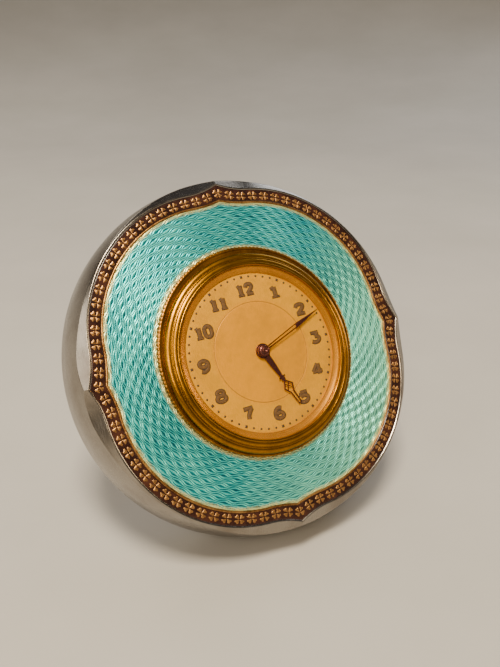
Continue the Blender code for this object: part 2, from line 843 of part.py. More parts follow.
def build_hands():
    """Skeleton hands and the cap over their hub."""
    minute_share = shown_minute / 60
    hour_share = (shown_hour + minute_share) / 12
    minute_axis = empty("minute_axis", movement, rotation=(0.0, 0.0, hand_angle(minute_share)))
    hour_axis = empty("hour_axis", movement, rotation=(0.0, 0.0, hand_angle(hour_share)))

    hub = minute_hub_radius
    rail = hub * 0.36
    length = minute_hand_length
    blade = [
        (hub * 0.7, -rail),
        (0.62 * length, -rail * 1.35),
        (length, -rail * 0.2),
        (length, rail * 0.2),
        (0.62 * length, rail * 1.35),
        (hub * 0.7, rail),
    ]
    slot = [
        (hub * 1.6, -rail * 0.45),
        (0.60 * length, -rail * 0.8),
        (0.86 * length, 0.0),
        (0.60 * length, rail * 0.8),
        (hub * 1.6, rail * 0.45),
    ]
    make_hand("minute_hand", blade, slot, hub, cannon_pipe_radius + run_gap, minute_hand_level, minute_axis)

    hub = hour_hub_radius
    length = hour_hand_length
    prong = hub * 0.40
    wide = hub * 0.78
    blade = [
        (hub * 0.7, -prong),
        (0.50 * length, -prong * 0.7),
        (0.66 * length, -wide),
        (0.80 * length, -prong),
        (length, -prong * 0.9),
        (length, prong * 0.9),
        (0.80 * length, prong),
        (0.66 * length, wide),
        (0.50 * length, prong * 0.7),
        (hub * 0.7, prong),
    ]
    slot = [
        (0.56 * length, 0.0),
        (0.66 * length, -wide * 0.6),
        (0.80 * length, -prong * 0.4),
        (0.95 * length, -prong * 0.4),
        (0.95 * length, prong * 0.4),
        (0.80 * length, prong * 0.4),
        (0.66 * length, wide * 0.6),
    ]
    make_hand("hour_hand", blade, slot, hub, hour_pipe_radius + run_gap, hour_hand_level, hour_axis)

    cap_low = minute_hand_level + hand_thickness + seat_gap
    cap = [(share * hand_cap_radius, cap_low + hand_cap_height * (1.0 - share**2)) for share in dome_shares[:-1]]
    cap += [(hand_cap_radius, cap_low + hand_cap_height / 4), (hand_cap_radius, cap_low), (0.0, cap_low)]
    turned("hand_cap", cap, small_facets, "blued_steel", minute_axis)


def make_hand(name, blade, slot, hub, bore, level, axis):
    """A pierced blade joined to its round hub, with the bore for its pipe."""
    top = level + hand_thickness
    hand = as_mesh(flat(name, [blade, slot], level, top, "blued_steel", axis))
    boss = rod(
        name + "_boss", hub, level - hub_proud, top + hub_proud, small_facets, "blued_steel", axis
    )
    combine(hand, boss, "UNION")
    tool = rod(name + "_bore", bore, level - cut_overrun, top + cut_overrun, small_facets, "steel", axis)
    combine(hand, tool, "DIFFERENCE")


# Places of the arbors, from the centre outwards along the train
barrel_place = polar(centre_distance(barrel_module, barrel_teeth, centre_pinion_teeth), barrel_angle)
minute_place = polar(centre_distance(motion_module, minute_wheel_teeth, cannon_teeth), minute_wheel_angle)
setting_place = polar(
    centre_distance(motion_module, setting_teeth, minute_wheel_teeth), setting_angle, minute_place
)
third_place = polar(centre_distance(centre_module, centre_wheel_teeth, third_pinion_teeth), third_angle)
fourth_place = polar(
    centre_distance(third_module, third_wheel_teeth, fourth_pinion_teeth), fourth_angle, third_place
)
escape_place = polar(
    centre_distance(fourth_module, fourth_wheel_teeth, escape_pinion_teeth), escape_angle, fourth_place
)
pallet_place = polar(pallet_distance, pallet_angle, escape_place)
balance_place = polar(balance_distance, balance_angle, pallet_place)

# Levels of the wheel tops behind the front plate
layer_gap = 0.7 * mm
centre_layer = front_plate_rear - layer_gap
third_layer = centre_layer - wheel_thickness - 2 * layer_gap
fourth_layer = third_layer - wheel_thickness - 2 * layer_gap
great_wheel_rear = rear_plate_level + layer_gap
great_wheel_level = great_wheel_rear + 1.5 * wheel_thickness
barrel_top = centre_layer - wheel_thickness - layer_gap / 2


def axis_at(name, place):
    """An axis of the movement, parallel to the hands' axis."""
    return empty(name, movement, (*place, 0.0))


def build_motion_work():
    """Cannon pinion, minute wheel, hour wheel, and the setting arbor with its knob."""
    minute_axis = bpy.data.objects["minute_axis"]
    hour_axis = bpy.data.objects["hour_axis"]
    lower_top = front_plate_level + seat_gap + wheel_thickness
    upper_top = lower_top + layer_gap / 2 + wheel_thickness
    cannon_wall_middle = (arbor_radius + run_gap + cannon_pipe_radius) / 2

    cannon_phase = math.radians(minute_wheel_angle)
    turned_by = minute_axis.rotation_euler.z
    pipe_top = minute_hand_level + hand_thickness
    pipe_low = lower_top - wheel_thickness - seat_gap / 2
    cannon = turned(
        "cannon_pinion",
        ring_profile(cannon_pipe_radius, arbor_radius + run_gap, pipe_low, pipe_top),
        small_facets,
        "steel",
        minute_axis,
        closed=True,
    )
    leaves = toothed(
        "cannon_leaves",
        cannon_teeth,
        motion_module,
        cannon_phase - turned_by,
        lower_top,
        wheel_thickness,
        minute_axis,
        [circle(cannon_wall_middle, small_facets)],
    )
    combine(cannon, as_mesh(leaves), "UNION")

    minute_wheel_axis = axis_at("minute_wheel_axis", minute_place)
    wheel_phase = mesh_phase(cannon_phase, cannon_teeth, math.radians(minute_wheel_angle), minute_wheel_teeth)
    arbor_with_wheels(
        "minute_wheel",
        "brass",
        minute_wheel_axis,
        pipe_low,
        upper_top + seat_gap,
        [
            (minute_wheel_teeth, motion_module, wheel_phase, lower_top, wheel_thickness),
            (minute_pinion_teeth, motion_module, wheel_phase, upper_top, wheel_thickness + layer_gap),
        ],
    )

    back_to_centre = math.radians(minute_wheel_angle) + math.pi
    hour_phase = mesh_phase(wheel_phase, minute_pinion_teeth, back_to_centre, hour_wheel_teeth)
    hour_bore = cannon_pipe_radius + run_gap
    hour_turned = hour_axis.rotation_euler.z
    hour_pipe_low = upper_top - wheel_thickness - seat_gap / 2
    pipe = turned(
        "hour_wheel",
        ring_profile(hour_pipe_radius, hour_bore, hour_pipe_low, hour_hand_level + hand_thickness),
        small_facets,
        "brass",
        hour_axis,
        closed=True,
    )
    wheel = toothed(
        "hour_wheel_teeth",
        hour_wheel_teeth,
        motion_module,
        hour_phase - hour_turned,
        upper_top,
        wheel_thickness,
        hour_axis,
        [circle((hour_bore + hour_pipe_radius) / 2, small_facets)],
    )
    combine(pipe, as_mesh(wheel), "UNION")

    setting_axis = axis_at("setting_axis", setting_place)
    setting_phase = mesh_phase(wheel_phase, minute_wheel_teeth, math.radians(setting_angle), setting_teeth)
    knob_top = movement_case_rear - part_gap
    arbor_with_wheels(
        "setting_arbor",
        "steel",
        setting_axis,
        knob_top + seat_gap,
        lower_top + seat_gap,
        [(setting_teeth, motion_module, setting_phase, lower_top, wheel_thickness)],
    )
    knurl = []
    for i in range(knob_flutes):
        step = 2 * math.pi / knob_flutes
        knurl.append((knob_radius * math.cos(i * step), knob_radius * math.sin(i * step)))
        inner = knob_radius - knob_flute_depth
        knurl.append((inner * math.cos((i + 0.5) * step), inner * math.sin((i + 0.5) * step)))
    flat("setting_knob", [knurl], knob_top - knob_height, knob_top, "gilt_bezel", setting_axis)


def build_frame():
    """Movement case, plates, pillars and screws."""
    rear = movement_case_rear
    front = coin_ring_height
    outer, inner = movement_case_radius, movement_case_radius - movement_case_wall
    cup = [(inner, front), (outer, front), (outer, rear), (0.0, rear), (0.0, rear + movement_case_base)]
    cup += [(inner, rear + movement_case_base), (inner, front)]
    shell = turned("movement_case", cup_open(cup), large_facets, "gilt_bezel", movement)
    for name, place, radius in (
        ("winding_hole", barrel_place, winding_arbor_radius + part_gap),
        ("setting_hole", setting_place, arbor_radius + part_gap),
    ):
        tool = rod(name, radius, rear - cut_overrun, rear + cut_overrun, small_facets, "steel", movement)
        tool.location = (*place, 0.0)
        combine(shell, tool, "DIFFERENCE")

    ring_top = case_back_rear - seat_gap
    ring_inner = retaining_ring_radius - retaining_ring_width
    turned(
        "retaining_ring",
        ring_profile(retaining_ring_radius, ring_inner, ring_top - retaining_ring_height, ring_top),
        large_facets,
        "gilt_bezel",
        movement,
        closed=True,
    )

    plate_radius = inner - part_gap
    centre_hole = circle(arbor_radius + run_gap, small_facets)
    setting_hole = circle(arbor_radius + run_gap, small_facets, setting_place)
    winding_hole = circle(winding_arbor_radius + run_gap, small_facets, barrel_place)
    rim = circle(plate_radius, large_facets)
    flat("front_plate", [rim, centre_hole, setting_hole], front_plate_rear, front_plate_level, "brass", movement)
    flat("rear_plate", [rim, setting_hole, winding_hole], rear_plate_rear, rear_plate_level, "brass", movement)
    for i, angle in enumerate(pillar_angles):
        place = polar(pillar_circle, angle)
        rod(
            f"pillar_{i + 1}",
            pillar_radius,
            rear_plate_level + seat_gap,
            front_plate_rear - seat_gap,
            small_facets,
            "brass",
            movement,
            (*place, 0.0),
        )
        level = rear_plate_rear - seat_gap
        slotted_screw(f"plate_screw_{i + 1}", place, screw_head_radius, screw_head_height, level, "steel", movement)


def cup_open(points):
    """Profile of a cup from the axis inside, over the rim, to the axis outside."""
    outside = points[1:4]
    inside = points[4:6]
    return [inside[0], inside[1], points[0]] + outside


def build_barrel():
    """Barrel with its spring, cover and arbor, ratchet and click, and the winding key."""
    barrel_axis = axis_at("barrel_axis", barrel_place)
    winding_axis = axis_at("winding_axis", barrel_place)
    drum_radius_outer = barrel_module * (barrel_teeth / 2 - dedendum_share) - barrel_wall / 2
    drum_inner = drum_radius_outer - barrel_wall
    bore = winding_arbor_radius + run_gap
    floor_level = great_wheel_level
    cover_low = barrel_top - barrel_cover_thickness
    drum_top = cover_low - seat_gap
    drum = turned(
        "barrel",
        [
            (drum_inner, drum_top),
            (drum_radius_outer, drum_top),
            (drum_radius_outer, great_wheel_rear),
            (bore, great_wheel_rear),
            (bore, floor_level),
            (drum_inner, floor_level),
        ],
        medium_facets,
        "brass",
        barrel_axis,
        closed=True,
    )
    centre_phase = math.radians(barrel_angle)
    barrel_phase = mesh_phase(centre_phase, centre_pinion_teeth, math.radians(barrel_angle), barrel_teeth)
    rim_hole = circle(drum_radius_outer - barrel_wall / 2, medium_facets)
    rim = toothed(
        "barrel_teeth",
        barrel_teeth,
        barrel_module,
        barrel_phase,
        great_wheel_level,
        great_wheel_level - great_wheel_rear - seat_gap,
        barrel_axis,
        [rim_hole],
    )
    combine(drum, as_mesh(rim), "UNION")
    turned(
        "barrel_cover",
        ring_profile(drum_radius_outer, bore, cover_low, barrel_top),
        medium_facets,
        "brass",
        barrel_axis,
        closed=True,
    )
    spring_low = floor_level + part_gap
    spring_high = drum_top - part_gap
    spiral(
        "mainspring",
        winding_arbor_radius + part_gap + mainspring_thickness / 2,
        drum_inner - part_gap / 2 - mainspring_thickness / 2,
        mainspring_turns,
        mainspring_thickness,
        spring_low,
        spring_high,
        barrel_axis,
    )

    key_front = movement_case_rear - part_gap
    rod(
        "winding_arbor",
        winding_arbor_radius,
        key_front + seat_gap,
        front_plate_rear - seat_gap,
        small_facets,
        "steel",
        winding_axis,
    )
    ratchet = ratchet_outline()
    ratchet_top = rear_plate_rear - part_gap
    ratchet_hole = circle(winding_arbor_radius + seat_gap, small_facets)
    flat(
        "ratchet_wheel",
        [ratchet, ratchet_hole],
        ratchet_top - wheel_thickness,
        ratchet_top,
        "steel",
        winding_axis,
    )
    build_click(ratchet_top)
    build_key(winding_axis, key_front)


def spiral(name, start_radius, end_radius, turns, thickness, low, high, parent):
    """A flat coiled strip standing between two levels."""
    steps = turns * spiral_points_per_turn
    outer, inner = [], []
    for i in range(steps + 1):
        angle = 2 * math.pi * turns * i / steps
        radius = start_radius + (end_radius - start_radius) * i / steps
        for side, rail in ((thickness / 2, outer), (-thickness / 2, inner)):
            rail.append(((radius + side) * math.cos(angle), (radius + side) * math.sin(angle)))
    return flat(name, [outer + list(reversed(inner))], low, high, "steel", parent)


spiral_points_per_turn = 10


def ratchet_outline():
    """Saw teeth, each with a long back and a straight front."""
    points = []
    step = 2 * math.pi / ratchet_teeth
    for i in range(ratchet_teeth):
        points.append((ratchet_radius * math.cos(i * step), ratchet_radius * math.sin(i * step)))
        inner = ratchet_radius - ratchet_depth
        points.append((inner * math.cos((i + 0.15) * step), inner * math.sin((i + 0.15) * step)))
    return points


def build_click(level):
    """Click and its spring beside the ratchet wheel, drawn just clear of the teeth."""
    pivot = polar(click_pivot_distance, click_pivot_angle, barrel_place)
    tip_distance = ratchet_radius + part_gap
    lean_in = click_pivot_distance**2 + click_length**2 - tip_distance**2
    lean_in = math.asin(lean_in / (2 * click_pivot_distance * click_length))
    click_axis = axis_at("click_axis", pivot)
    click_axis.rotation_euler = (0.0, 0.0, math.radians(click_pivot_angle) + quarter + lean_in)
    tail = click_pivot_radius
    outline = [
        (-tail, -tail),
        (0.0, -tail),
        (click_length / 2, -tail * 0.6),
        (click_length, -tail * 0.1),
        (click_length, tail * 0.05),
        (0.0, tail),
        (-tail, tail),
    ]
    flat("click", [outline], level - wheel_thickness, level, "steel", click_axis)
    strip_top = -tail - run_gap
    strip_low = strip_top - click_spring_thickness
    strip = [(-tail, strip_low), (click_length, strip_low), (click_length, strip_top), (-tail, strip_top)]
    spring = flat("click_spring", [strip], level - wheel_thickness, level, "steel", movement)
    spring.location = (*pivot, spring.location.z)
    spring.rotation_euler = click_axis.rotation_euler


def build_key(axis, front):
    """Key hub on the winding arbor, with a bow that folds flat to either side."""
    hub = rod("key_hub", key_hub_radius, front - key_hub_height, front, small_facets, "gilt_bezel", axis)
    bow_level = front - key_hub_height / 2
    bow_axis = empty("key_bow_axis", axis, (0.0, 0.0, bow_level))
    pin_reach = key_hub_radius + run_gap
    curve = bpy.data.curves.new("key_bow", "CURVE")
    curve.dimensions = "3D"
    curve.bevel_depth = key_bow_tube
    curve.bevel_resolution = 1
    curve.use_fill_caps = True
    path = [(0.0, pin_reach), (0.0, key_bow_radius - key_bow_tube)]
    path += [polar(key_bow_radius, angle) for angle in (102.0, 126.0, 153.0, 180.0, 207.0, 234.0, 258.0)]
    path += [(0.0, -key_bow_radius + key_bow_tube), (0.0, -pin_reach)]
    spline = curve.splines.new("POLY")
    spline.points.add(len(path) - 1)
    for point, (x, y) in zip(spline.points, path):
        point.co = (x, y, 0.0, 1.0)
    add_piece("key_bow", curve, "gilt_bezel", bow_axis)
    return hub


def build_train():
    """Centre, third, fourth and escape wheels, each with its pinion."""
    centre_axis = axis_at("centre_axis", (0.0, 0.0))
    centre_phase = math.radians(barrel_angle)
    pinion_height = 2 * wheel_thickness
    pinion_rise = (pinion_height - wheel_thickness) / 2
    arbor_front = minute_hand_level
    arbor_rear = rear_plate_level + seat_gap
    great_middle = (great_wheel_level + great_wheel_rear) / 2
    arbor_with_wheels(
        "centre_wheel",
        "brass",
        centre_axis,
        arbor_rear,
        arbor_front,
        [
            (centre_wheel_teeth, centre_module, math.radians(third_angle), centre_layer, wheel_thickness),
            (centre_pinion_teeth, barrel_module, centre_phase, great_middle + wheel_thickness, pinion_height),
        ],
    )
    stages = (
        (
            "third_wheel", third_place, third_angle, math.radians(third_angle), centre_wheel_teeth,
            third_pinion_teeth, centre_module, centre_layer, third_wheel_teeth, third_module, third_layer,
            fourth_angle,
        ),
        (
            "fourth_wheel", fourth_place, fourth_angle, math.radians(fourth_angle), third_wheel_teeth,
            fourth_pinion_teeth, third_module, third_layer, fourth_wheel_teeth, fourth_module, fourth_layer,
            escape_angle,
        ),
    )
    for (
        name, place, angle, phase, teeth, pinion, pinion_module, pinion_layer, wheel, module, layer, onward
    ) in stages:
        axis = axis_at(name + "_axis", place)
        pinion_phase = mesh_phase(phase, teeth, math.radians(angle), pinion)
        arbor_with_wheels(
            name,
            "brass",
            axis,
            arbor_rear,
            front_plate_rear - seat_gap,
            [
                (wheel, module, math.radians(onward), layer, wheel_thickness),
                (pinion, pinion_module, pinion_phase, pinion_layer + pinion_rise, pinion_height),
            ],
        )
    escape_axis = axis_at("escape_wheel_axis", escape_place)
    pinion_phase = mesh_phase(
        math.radians(escape_angle), fourth_wheel_teeth, math.radians(escape_angle), escape_pinion_teeth
    )
    staff = arbor_with_wheels(
        "escape_wheel",
        "steel",
        escape_axis,
        arbor_rear,
        front_plate_rear - seat_gap,
        [(escape_pinion_teeth, fourth_module, pinion_phase, fourth_layer + pinion_rise, pinion_height)],
    )
    points = []
    step = 2 * math.pi / escape_wheel_teeth
    for i in range(escape_wheel_teeth):
        for share, turn in ((1.0, 0.0), (0.95, 0.14), (0.74, 0.30)):
            radius = escape_wheel_radius * share
            points.append((radius * math.cos((i + turn) * step), radius * math.sin((i + turn) * step)))
    rim = flat("escape_rim", [points], third_layer - wheel_thickness, third_layer, "steel", escape_axis)
    combine(staff, as_mesh(rim), "UNION")


def build_escapement():
    """Pallet fork, balance wheel, hairspring, cock and regulator."""
    towards_escape = math.radians(pallet_angle) + math.pi
    pallet_axis = axis_at("pallet_axis", pallet_place)
    pallet_axis.rotation_euler = (0.0, 0.0, towards_escape)
    span = escape_wheel_radius * 0.8
    horn = balance_distance - roller_radius - part_gap
    body = arbor_radius * 1.2
    nib = body + fork_nib_reach
    fork = [
        (-horn, -body / 2),
        (-body, -body),
        (-body / 2, -span),
        (nib, -span - body),
        (nib, -span),
        (body / 4, -body),
        (body / 4, body),
        (nib, span),
        (nib, span + body),
        (-body / 2, span),
        (-body, body),
        (-horn, body / 2),
    ]
    lever = as_mesh(flat("pallet_fork", [fork], third_layer - wheel_thickness, third_layer, "steel", pallet_axis))
    staff = rod(
        "pallet_staff",
        body * 0.7,
        third_layer - 2 * wheel_thickness,
        front_plate_rear - seat_gap,
        tiny_facets,
        "steel",
        pallet_axis,
    )
    combine(lever, staff, "UNION")

    balance_axis = axis_at("balance_axis", balance_place)
    inner = balance_radius - balance_rim_width
    half = balance_rim_width / 2
    reach = math.sqrt(inner**2 - half**2)
    start = math.asin(half / inner)
    upper = arc_points(inner, start, math.pi - start, medium_facets // 2)
    lower = arc_points(inner, math.pi + start, 2 * math.pi - start, medium_facets // 2)
    wheel = as_mesh(
        flat(
            "balance_wheel",
            [circle(balance_radius, medium_facets), upper, lower],
            fourth_layer - wheel_thickness,
            fourth_layer,
            "brass",
            balance_axis,
        )
    )
    cock_front = fourth_layer - 4 * wheel_thickness
    staff_rear = cock_front + seat_gap
    staff = rod(
        "balance_staff",
        arbor_radius,
        staff_rear,
        front_plate_rear - seat_gap,
        tiny_facets,
        "steel",
        balance_axis,
        phase=math.pi / tiny_facets,
    )
    combine(wheel, staff, "UNION")
    roller = rod(
        "balance_roller",
        roller_radius,
        third_layer - wheel_thickness,
        third_layer,
        small_facets,
        "steel",
        balance_axis,
    )
    combine(wheel, roller, "UNION")
    spring_top = fourth_layer - 2 * wheel_thickness
    spiral(
        "hairspring",
        arbor_radius + run_gap + hairspring_thickness / 2,
        reach / 2,
        hairspring_turns,
        hairspring_thickness,
        spring_top - wheel_thickness / 2,
        spring_top,
        balance_axis,
    )
    build_cock(cock_front)


def arc_points(radius, start, end, count):
    """Points of an arc, closed by its chord."""
    return [
        (radius * math.cos(start + (end - start) * i / count), radius * math.sin(start + (end - start) * i / count))
        for i in range(count + 1)
    ]




def build_cock(front):
    """Cock that carries the balance on a foot from the front plate, and its regulator."""
    cock_axis = axis_at("cock_axis", balance_place)
    cock_axis.rotation_euler = (0.0, 0.0, math.radians(cock_foot_angle))
    half = cock_width / 2
    arm = [(-half, -half), (cock_foot_reach + half, -half), (cock_foot_reach + half, half), (-half, half)]
    cock = as_mesh(flat("balance_cock", [arm], front - wheel_thickness, front, "brass", cock_axis))
    foot_top = front_plate_rear - seat_gap
    foot = block(
        "cock_foot",
        (cock_width * 0.9, cock_width * 0.9, foot_top - front + wheel_thickness / 2),
        (cock_foot_reach, 0.0, (foot_top + front - wheel_thickness / 2) / 2),
        "brass",
        cock_axis,
    )
    combine(cock, foot, "UNION")
    regulator_axis = axis_at("regulator_axis", balance_place)
    regulator_axis.rotation_euler = (0.0, 0.0, math.radians(cock_foot_angle) + math.pi)
    top = front - wheel_thickness - run_gap
    head = half * 0.8
    lever = [
        (-head, -head),
        (head, -head),
        (regulator_length, -head / 4),
        (regulator_length, head / 4),
        (head, head),
        (-head, head),
    ]
    flat("regulator_lever", [lever], top - wheel_thickness / 2, top, "steel", regulator_axis)


def set_on_table():
    """Set the standing flat on z = 0 and the middle of the bounding box over the origin."""
    bpy.context.view_layer.update()
    graph = bpy.context.evaluated_depsgraph_get()
    corners = []
    for piece in clock_parts.objects:
        if piece.type == "EMPTY":
            continue
        shown = piece.evaluated_get(graph)
        mesh = shown.to_mesh()
        corners += [piece.matrix_world @ vertex.co for vertex in mesh.vertices]
        shown.to_mesh_clear()
    low = Vector([min(corner[i] for corner in corners) for i in range(3)])
    high = Vector([max(corner[i] for corner in corners) for i in range(3)])
    clock.location = (-(low.x + high.x) / 2, -(low.y + high.y) / 2, -low.z)
    bpy.context.view_layer.update()


build_case()
build_strut()
build_bezel()
build_dial()
build_hands()
build_frame()
build_motion_work()
build_barrel()
build_train()
build_escapement()
set_on_table()
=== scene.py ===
"""Looks of the enamel clock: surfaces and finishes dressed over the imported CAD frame.

Lengths are millimetres of the clock's own frames unless a docstring says metres. The face's
frame has x towards three o'clock, y towards twelve and z out of the enamel. The movement's
frame has the same directions, from the axis of the hands.
"""

import enum
import json
import logging
import math
from collections.abc import Iterable, Sequence
from dataclasses import dataclass, field

import bmesh
import bpy
import numpy as np
from mathutils import Matrix, Vector


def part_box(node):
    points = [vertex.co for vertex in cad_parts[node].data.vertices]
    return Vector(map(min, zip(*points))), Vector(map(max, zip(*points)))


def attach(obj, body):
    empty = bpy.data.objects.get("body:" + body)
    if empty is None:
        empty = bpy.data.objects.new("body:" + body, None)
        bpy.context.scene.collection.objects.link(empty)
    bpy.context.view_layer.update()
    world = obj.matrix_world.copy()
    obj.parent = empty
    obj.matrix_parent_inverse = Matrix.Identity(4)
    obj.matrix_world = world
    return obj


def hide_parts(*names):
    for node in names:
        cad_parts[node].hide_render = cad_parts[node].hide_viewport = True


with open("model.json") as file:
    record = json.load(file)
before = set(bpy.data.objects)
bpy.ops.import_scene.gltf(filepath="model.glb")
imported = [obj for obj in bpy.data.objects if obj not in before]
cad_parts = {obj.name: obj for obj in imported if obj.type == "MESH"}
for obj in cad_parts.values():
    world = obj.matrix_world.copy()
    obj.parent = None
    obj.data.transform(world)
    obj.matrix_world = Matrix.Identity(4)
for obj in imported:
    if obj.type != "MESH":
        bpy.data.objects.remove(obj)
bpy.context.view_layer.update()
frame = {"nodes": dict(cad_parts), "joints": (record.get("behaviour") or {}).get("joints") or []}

MM = 0.001
TURN = 2.0 * math.pi
QUARTER = math.pi / 2.0
CREASE = 38.0
LOG = logging.getLogger("enamel_clock")

Span = tuple[float, float]
Triple = tuple[float, float, float]
Numbers = np.ndarray | float
Corners = Sequence[Span] | np.ndarray
Socket = bpy.types.NodeSocket


class Cap(enum.Enum):
    """How the first or last row of a grid is closed."""

    OPEN = "open"
    FLAT = "flat"
    POLE = "pole"


class Slot(enum.Enum):
    """Material slots of the record."""

    SILVER = "silver"
    BORDER = "border_enamel"
    TURQUOISE = "turquoise_enamel"
    GOLD = "gold"
    GILT_BEZEL = "gilt_bezel"
    GILT_DIAL = "gilt_dial"
    BLUED_STEEL = "blued_steel"
    GLASS = "glass"
    STEEL = "steel"
    BRASS = "movement_brass"


@dataclass(frozen=True)
class Axes:
    """A frame of the clock: its origin in metres and its three unit directions."""

    origin: np.ndarray
    right: np.ndarray
    up: np.ndarray
    out: np.ndarray

    @property
    def turn(self) -> np.ndarray:
        """Rotation matrix whose columns are the three directions."""
        return np.column_stack((self.right, self.up, self.out))

    def place(self, points: np.ndarray) -> np.ndarray:
        """Points of this frame, in millimetres, as world points in metres."""
        return self.origin + (points * MM) @ self.turn.T

    def middle_of(self, node: str) -> np.ndarray:
        """Middle of a CAD node's box in this frame."""
        low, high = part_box(node)
        return (np.array((low + high) / 2) - self.origin) @ self.turn / MM

    def moved(self, shift: Sequence[float]) -> "Axes":
        """The same directions from another origin, given in this frame."""
        return Axes(self.place(np.array(shift)), self.right, self.up, self.out)

    def tipped(self, angle: float) -> "Axes":
        """The frame turned about its own x direction by an angle in radians."""
        up = math.cos(angle) * self.up + math.sin(angle) * self.out
        out = -math.sin(angle) * self.up + math.cos(angle) * self.out
        return Axes(self.origin, self.right, up, out)

    def spun(self, angle: float) -> "Axes":
        """The frame turned about its own z direction by an angle in radians."""
        right = math.cos(angle) * self.right + math.sin(angle) * self.up
        up = -math.sin(angle) * self.right + math.cos(angle) * self.up
        return Axes(self.origin, right, up, self.out)


def joint_named(name: str) -> dict:
    """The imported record's joint of that name."""
    return next(joint for joint in frame["joints"] if joint["name"] == name)


def movement_axes() -> Axes:
    """Frame of the movement: the hands' axis, which points into the clock, turned outwards.

    Returns:
        The frame, with its origin on the hands' axis.
    """
    joint = joint_named("minute_turn")
    out = -np.array(joint["axis"], float)
    out /= np.linalg.norm(out)
    right = np.array((1.0, 0.0, 0.0))
    return Axes(np.array(joint["pos_m"], float), right, np.cross(out, right), out)


MOVEMENT_DROP = 0.7
MOVEMENT = movement_axes()
FACE = MOVEMENT.moved((0.0, MOVEMENT_DROP, 0.0))


def unit(rows: np.ndarray) -> np.ndarray:
    """Vectors in rows, each divided by its length."""
    return rows / np.maximum(np.linalg.norm(rows, axis=1, keepdims=True), 1e-9)


def left_of(along: np.ndarray) -> np.ndarray:
    """Plane vectors in rows, each turned a quarter to the left."""
    return np.column_stack((-along[:, 1], along[:, 0]))


def winding(outline: np.ndarray) -> float:
    """Plus one for a closed outline that runs anticlockwise, minus one for the other way."""
    x, y = outline.T
    return np.sign(np.sum(x * np.roll(y, -1) - np.roll(x, -1) * y))


def circle(columns: int) -> np.ndarray:
    """Angles round a full turn, as one row."""
    return np.arange(columns)[None] / columns * TURN


def ring_points(angle: np.ndarray, radius: Numbers, height: Numbers) -> np.ndarray:
    """Points (r cos a, r sin a, z).

    Args:
        angle: angles as one row.
        radius: one number, a column with one for each row of points, or a full grid.
        height: the same.

    Returns:
        Points as (rows, columns, 3).
    """
    angle, radius, height = np.broadcast_arrays(angle, radius, height)
    return np.stack((radius * np.cos(angle), radius * np.sin(angle), height), -1)


def lathe(profile: np.ndarray, columns: int) -> np.ndarray:
    """A profile of (radius, height) turned about z."""
    return ring_points(circle(columns), profile[:, :1], profile[:, 1:])


def spoke(angle: float, length: float = 1.0) -> np.ndarray:
    """Plane vector of a length in the direction of an angle."""
    return length * np.array((math.cos(angle), math.sin(angle)))


def milled(rows: Sequence[Triple], angle: np.ndarray, cut: np.ndarray) -> np.ndarray:
    """Turned rows whose edge is cut in: rows of (r, share, z) have the radius r - share cut."""
    radius, share, height = np.array(rows).T[..., None]
    return ring_points(angle, radius - share * cut, height)


def layers(rings: Iterable[tuple[np.ndarray, float]]) -> np.ndarray:
    """A grid of plane rings, each at its own height."""
    return np.stack([np.column_stack((ring, np.full(len(ring), z))) for ring, z in rings])


def spline(points: Sequence[Sequence[float]], steps: int, closed: bool = False) -> np.ndarray:
    """Catmull-Rom curve through points.

    Each span is the cubic p1 + t(p2-p0)/2 + t2(2p0-5p1+4p2-p3)/2 + t3(3p1-p0-3p2+p3)/2.

    Args:
        points: control points, one row each.
        steps: samples in each span.
        closed: whether the last point joins the first.

    Returns:
        The sampled curve, without a repeated end where it is closed.
    """
    p = np.asarray(points, float)
    if closed:
        spans = np.roll(p, 1, 0), p, np.roll(p, -1, 0), np.roll(p, -2, 0)
    else:
        ends = np.vstack((2 * p[0] - p[1], p, 2 * p[-1] - p[-2]))
        spans = ends[:-3], ends[1:-2], ends[2:-1], ends[3:]
    t = (np.arange(steps) / steps)[None, :, None]
    p0, p1, p2, p3 = (q[:, None, :] for q in spans)
    curve = p1 + t * (p2 - p0) / 2 + t**2 * (2 * p0 - 5 * p1 + 4 * p2 - p3) / 2
    curve = (curve + t**3 * (3 * p1 - p0 - 3 * p2 + p3) / 2).reshape(-1, p.shape[1])
    return curve if closed else np.vstack((curve, p[-1]))


def rounded(corners: Corners, radius: float, steps: int, closed: bool = True) -> np.ndarray:
    """Polyline with each corner replaced by the arc (1-t)^2 start + 2t(1-t) corner + t^2 end.

    Args:
        corners: corner points in order.
        radius: distance from a corner at which its arc starts, at most half of a side.
        steps: points of each arc.
        closed: whether the line closes on itself; the ends of an open line stay.

    Returns:
        The rounded line as an array of points.
    """
    c = np.asarray(corners, float)
    to_last, to_next = np.roll(c, 1, 0) - c, np.roll(c, -1, 0) - c
    last, following = (np.linalg.norm(v, axis=1, keepdims=True) for v in (to_last, to_next))
    start = c + to_last / last * np.minimum(radius, last / 2)
    end = c + to_next / following * np.minimum(radius, following / 2)
    t = np.linspace(0.0, 1.0, steps)[None, :, None]
    arcs = (1 - t) ** 2 * start[:, None] + 2 * t * (1 - t) * c[:, None] + t**2 * end[:, None]
    if closed:
        return arcs.reshape(-1, 2)
    return np.vstack((c[:1], arcs[1:-1].reshape(-1, 2), c[-1:]))


def offset_corners(corners: Corners, distance: float) -> np.ndarray:
    """Corners of a closed polygon whose sides are all moved inwards.

    A corner moves by distance (n1 + n2) / (1 + n1.n2), with its sides' inward normals n1 and n2.

    Args:
        corners: corner points in order.
        distance: how far each side moves.

    Returns:
        The moved corners.
    """
    c = np.asarray(corners, float)
    after = left_of(unit(np.roll(c, -1, 0) - c)) * winding(c)
    before = np.roll(after, 1, 0)
    return c + distance * (before + after) / (1.0 + np.sum(before * after, axis=1, keepdims=True))


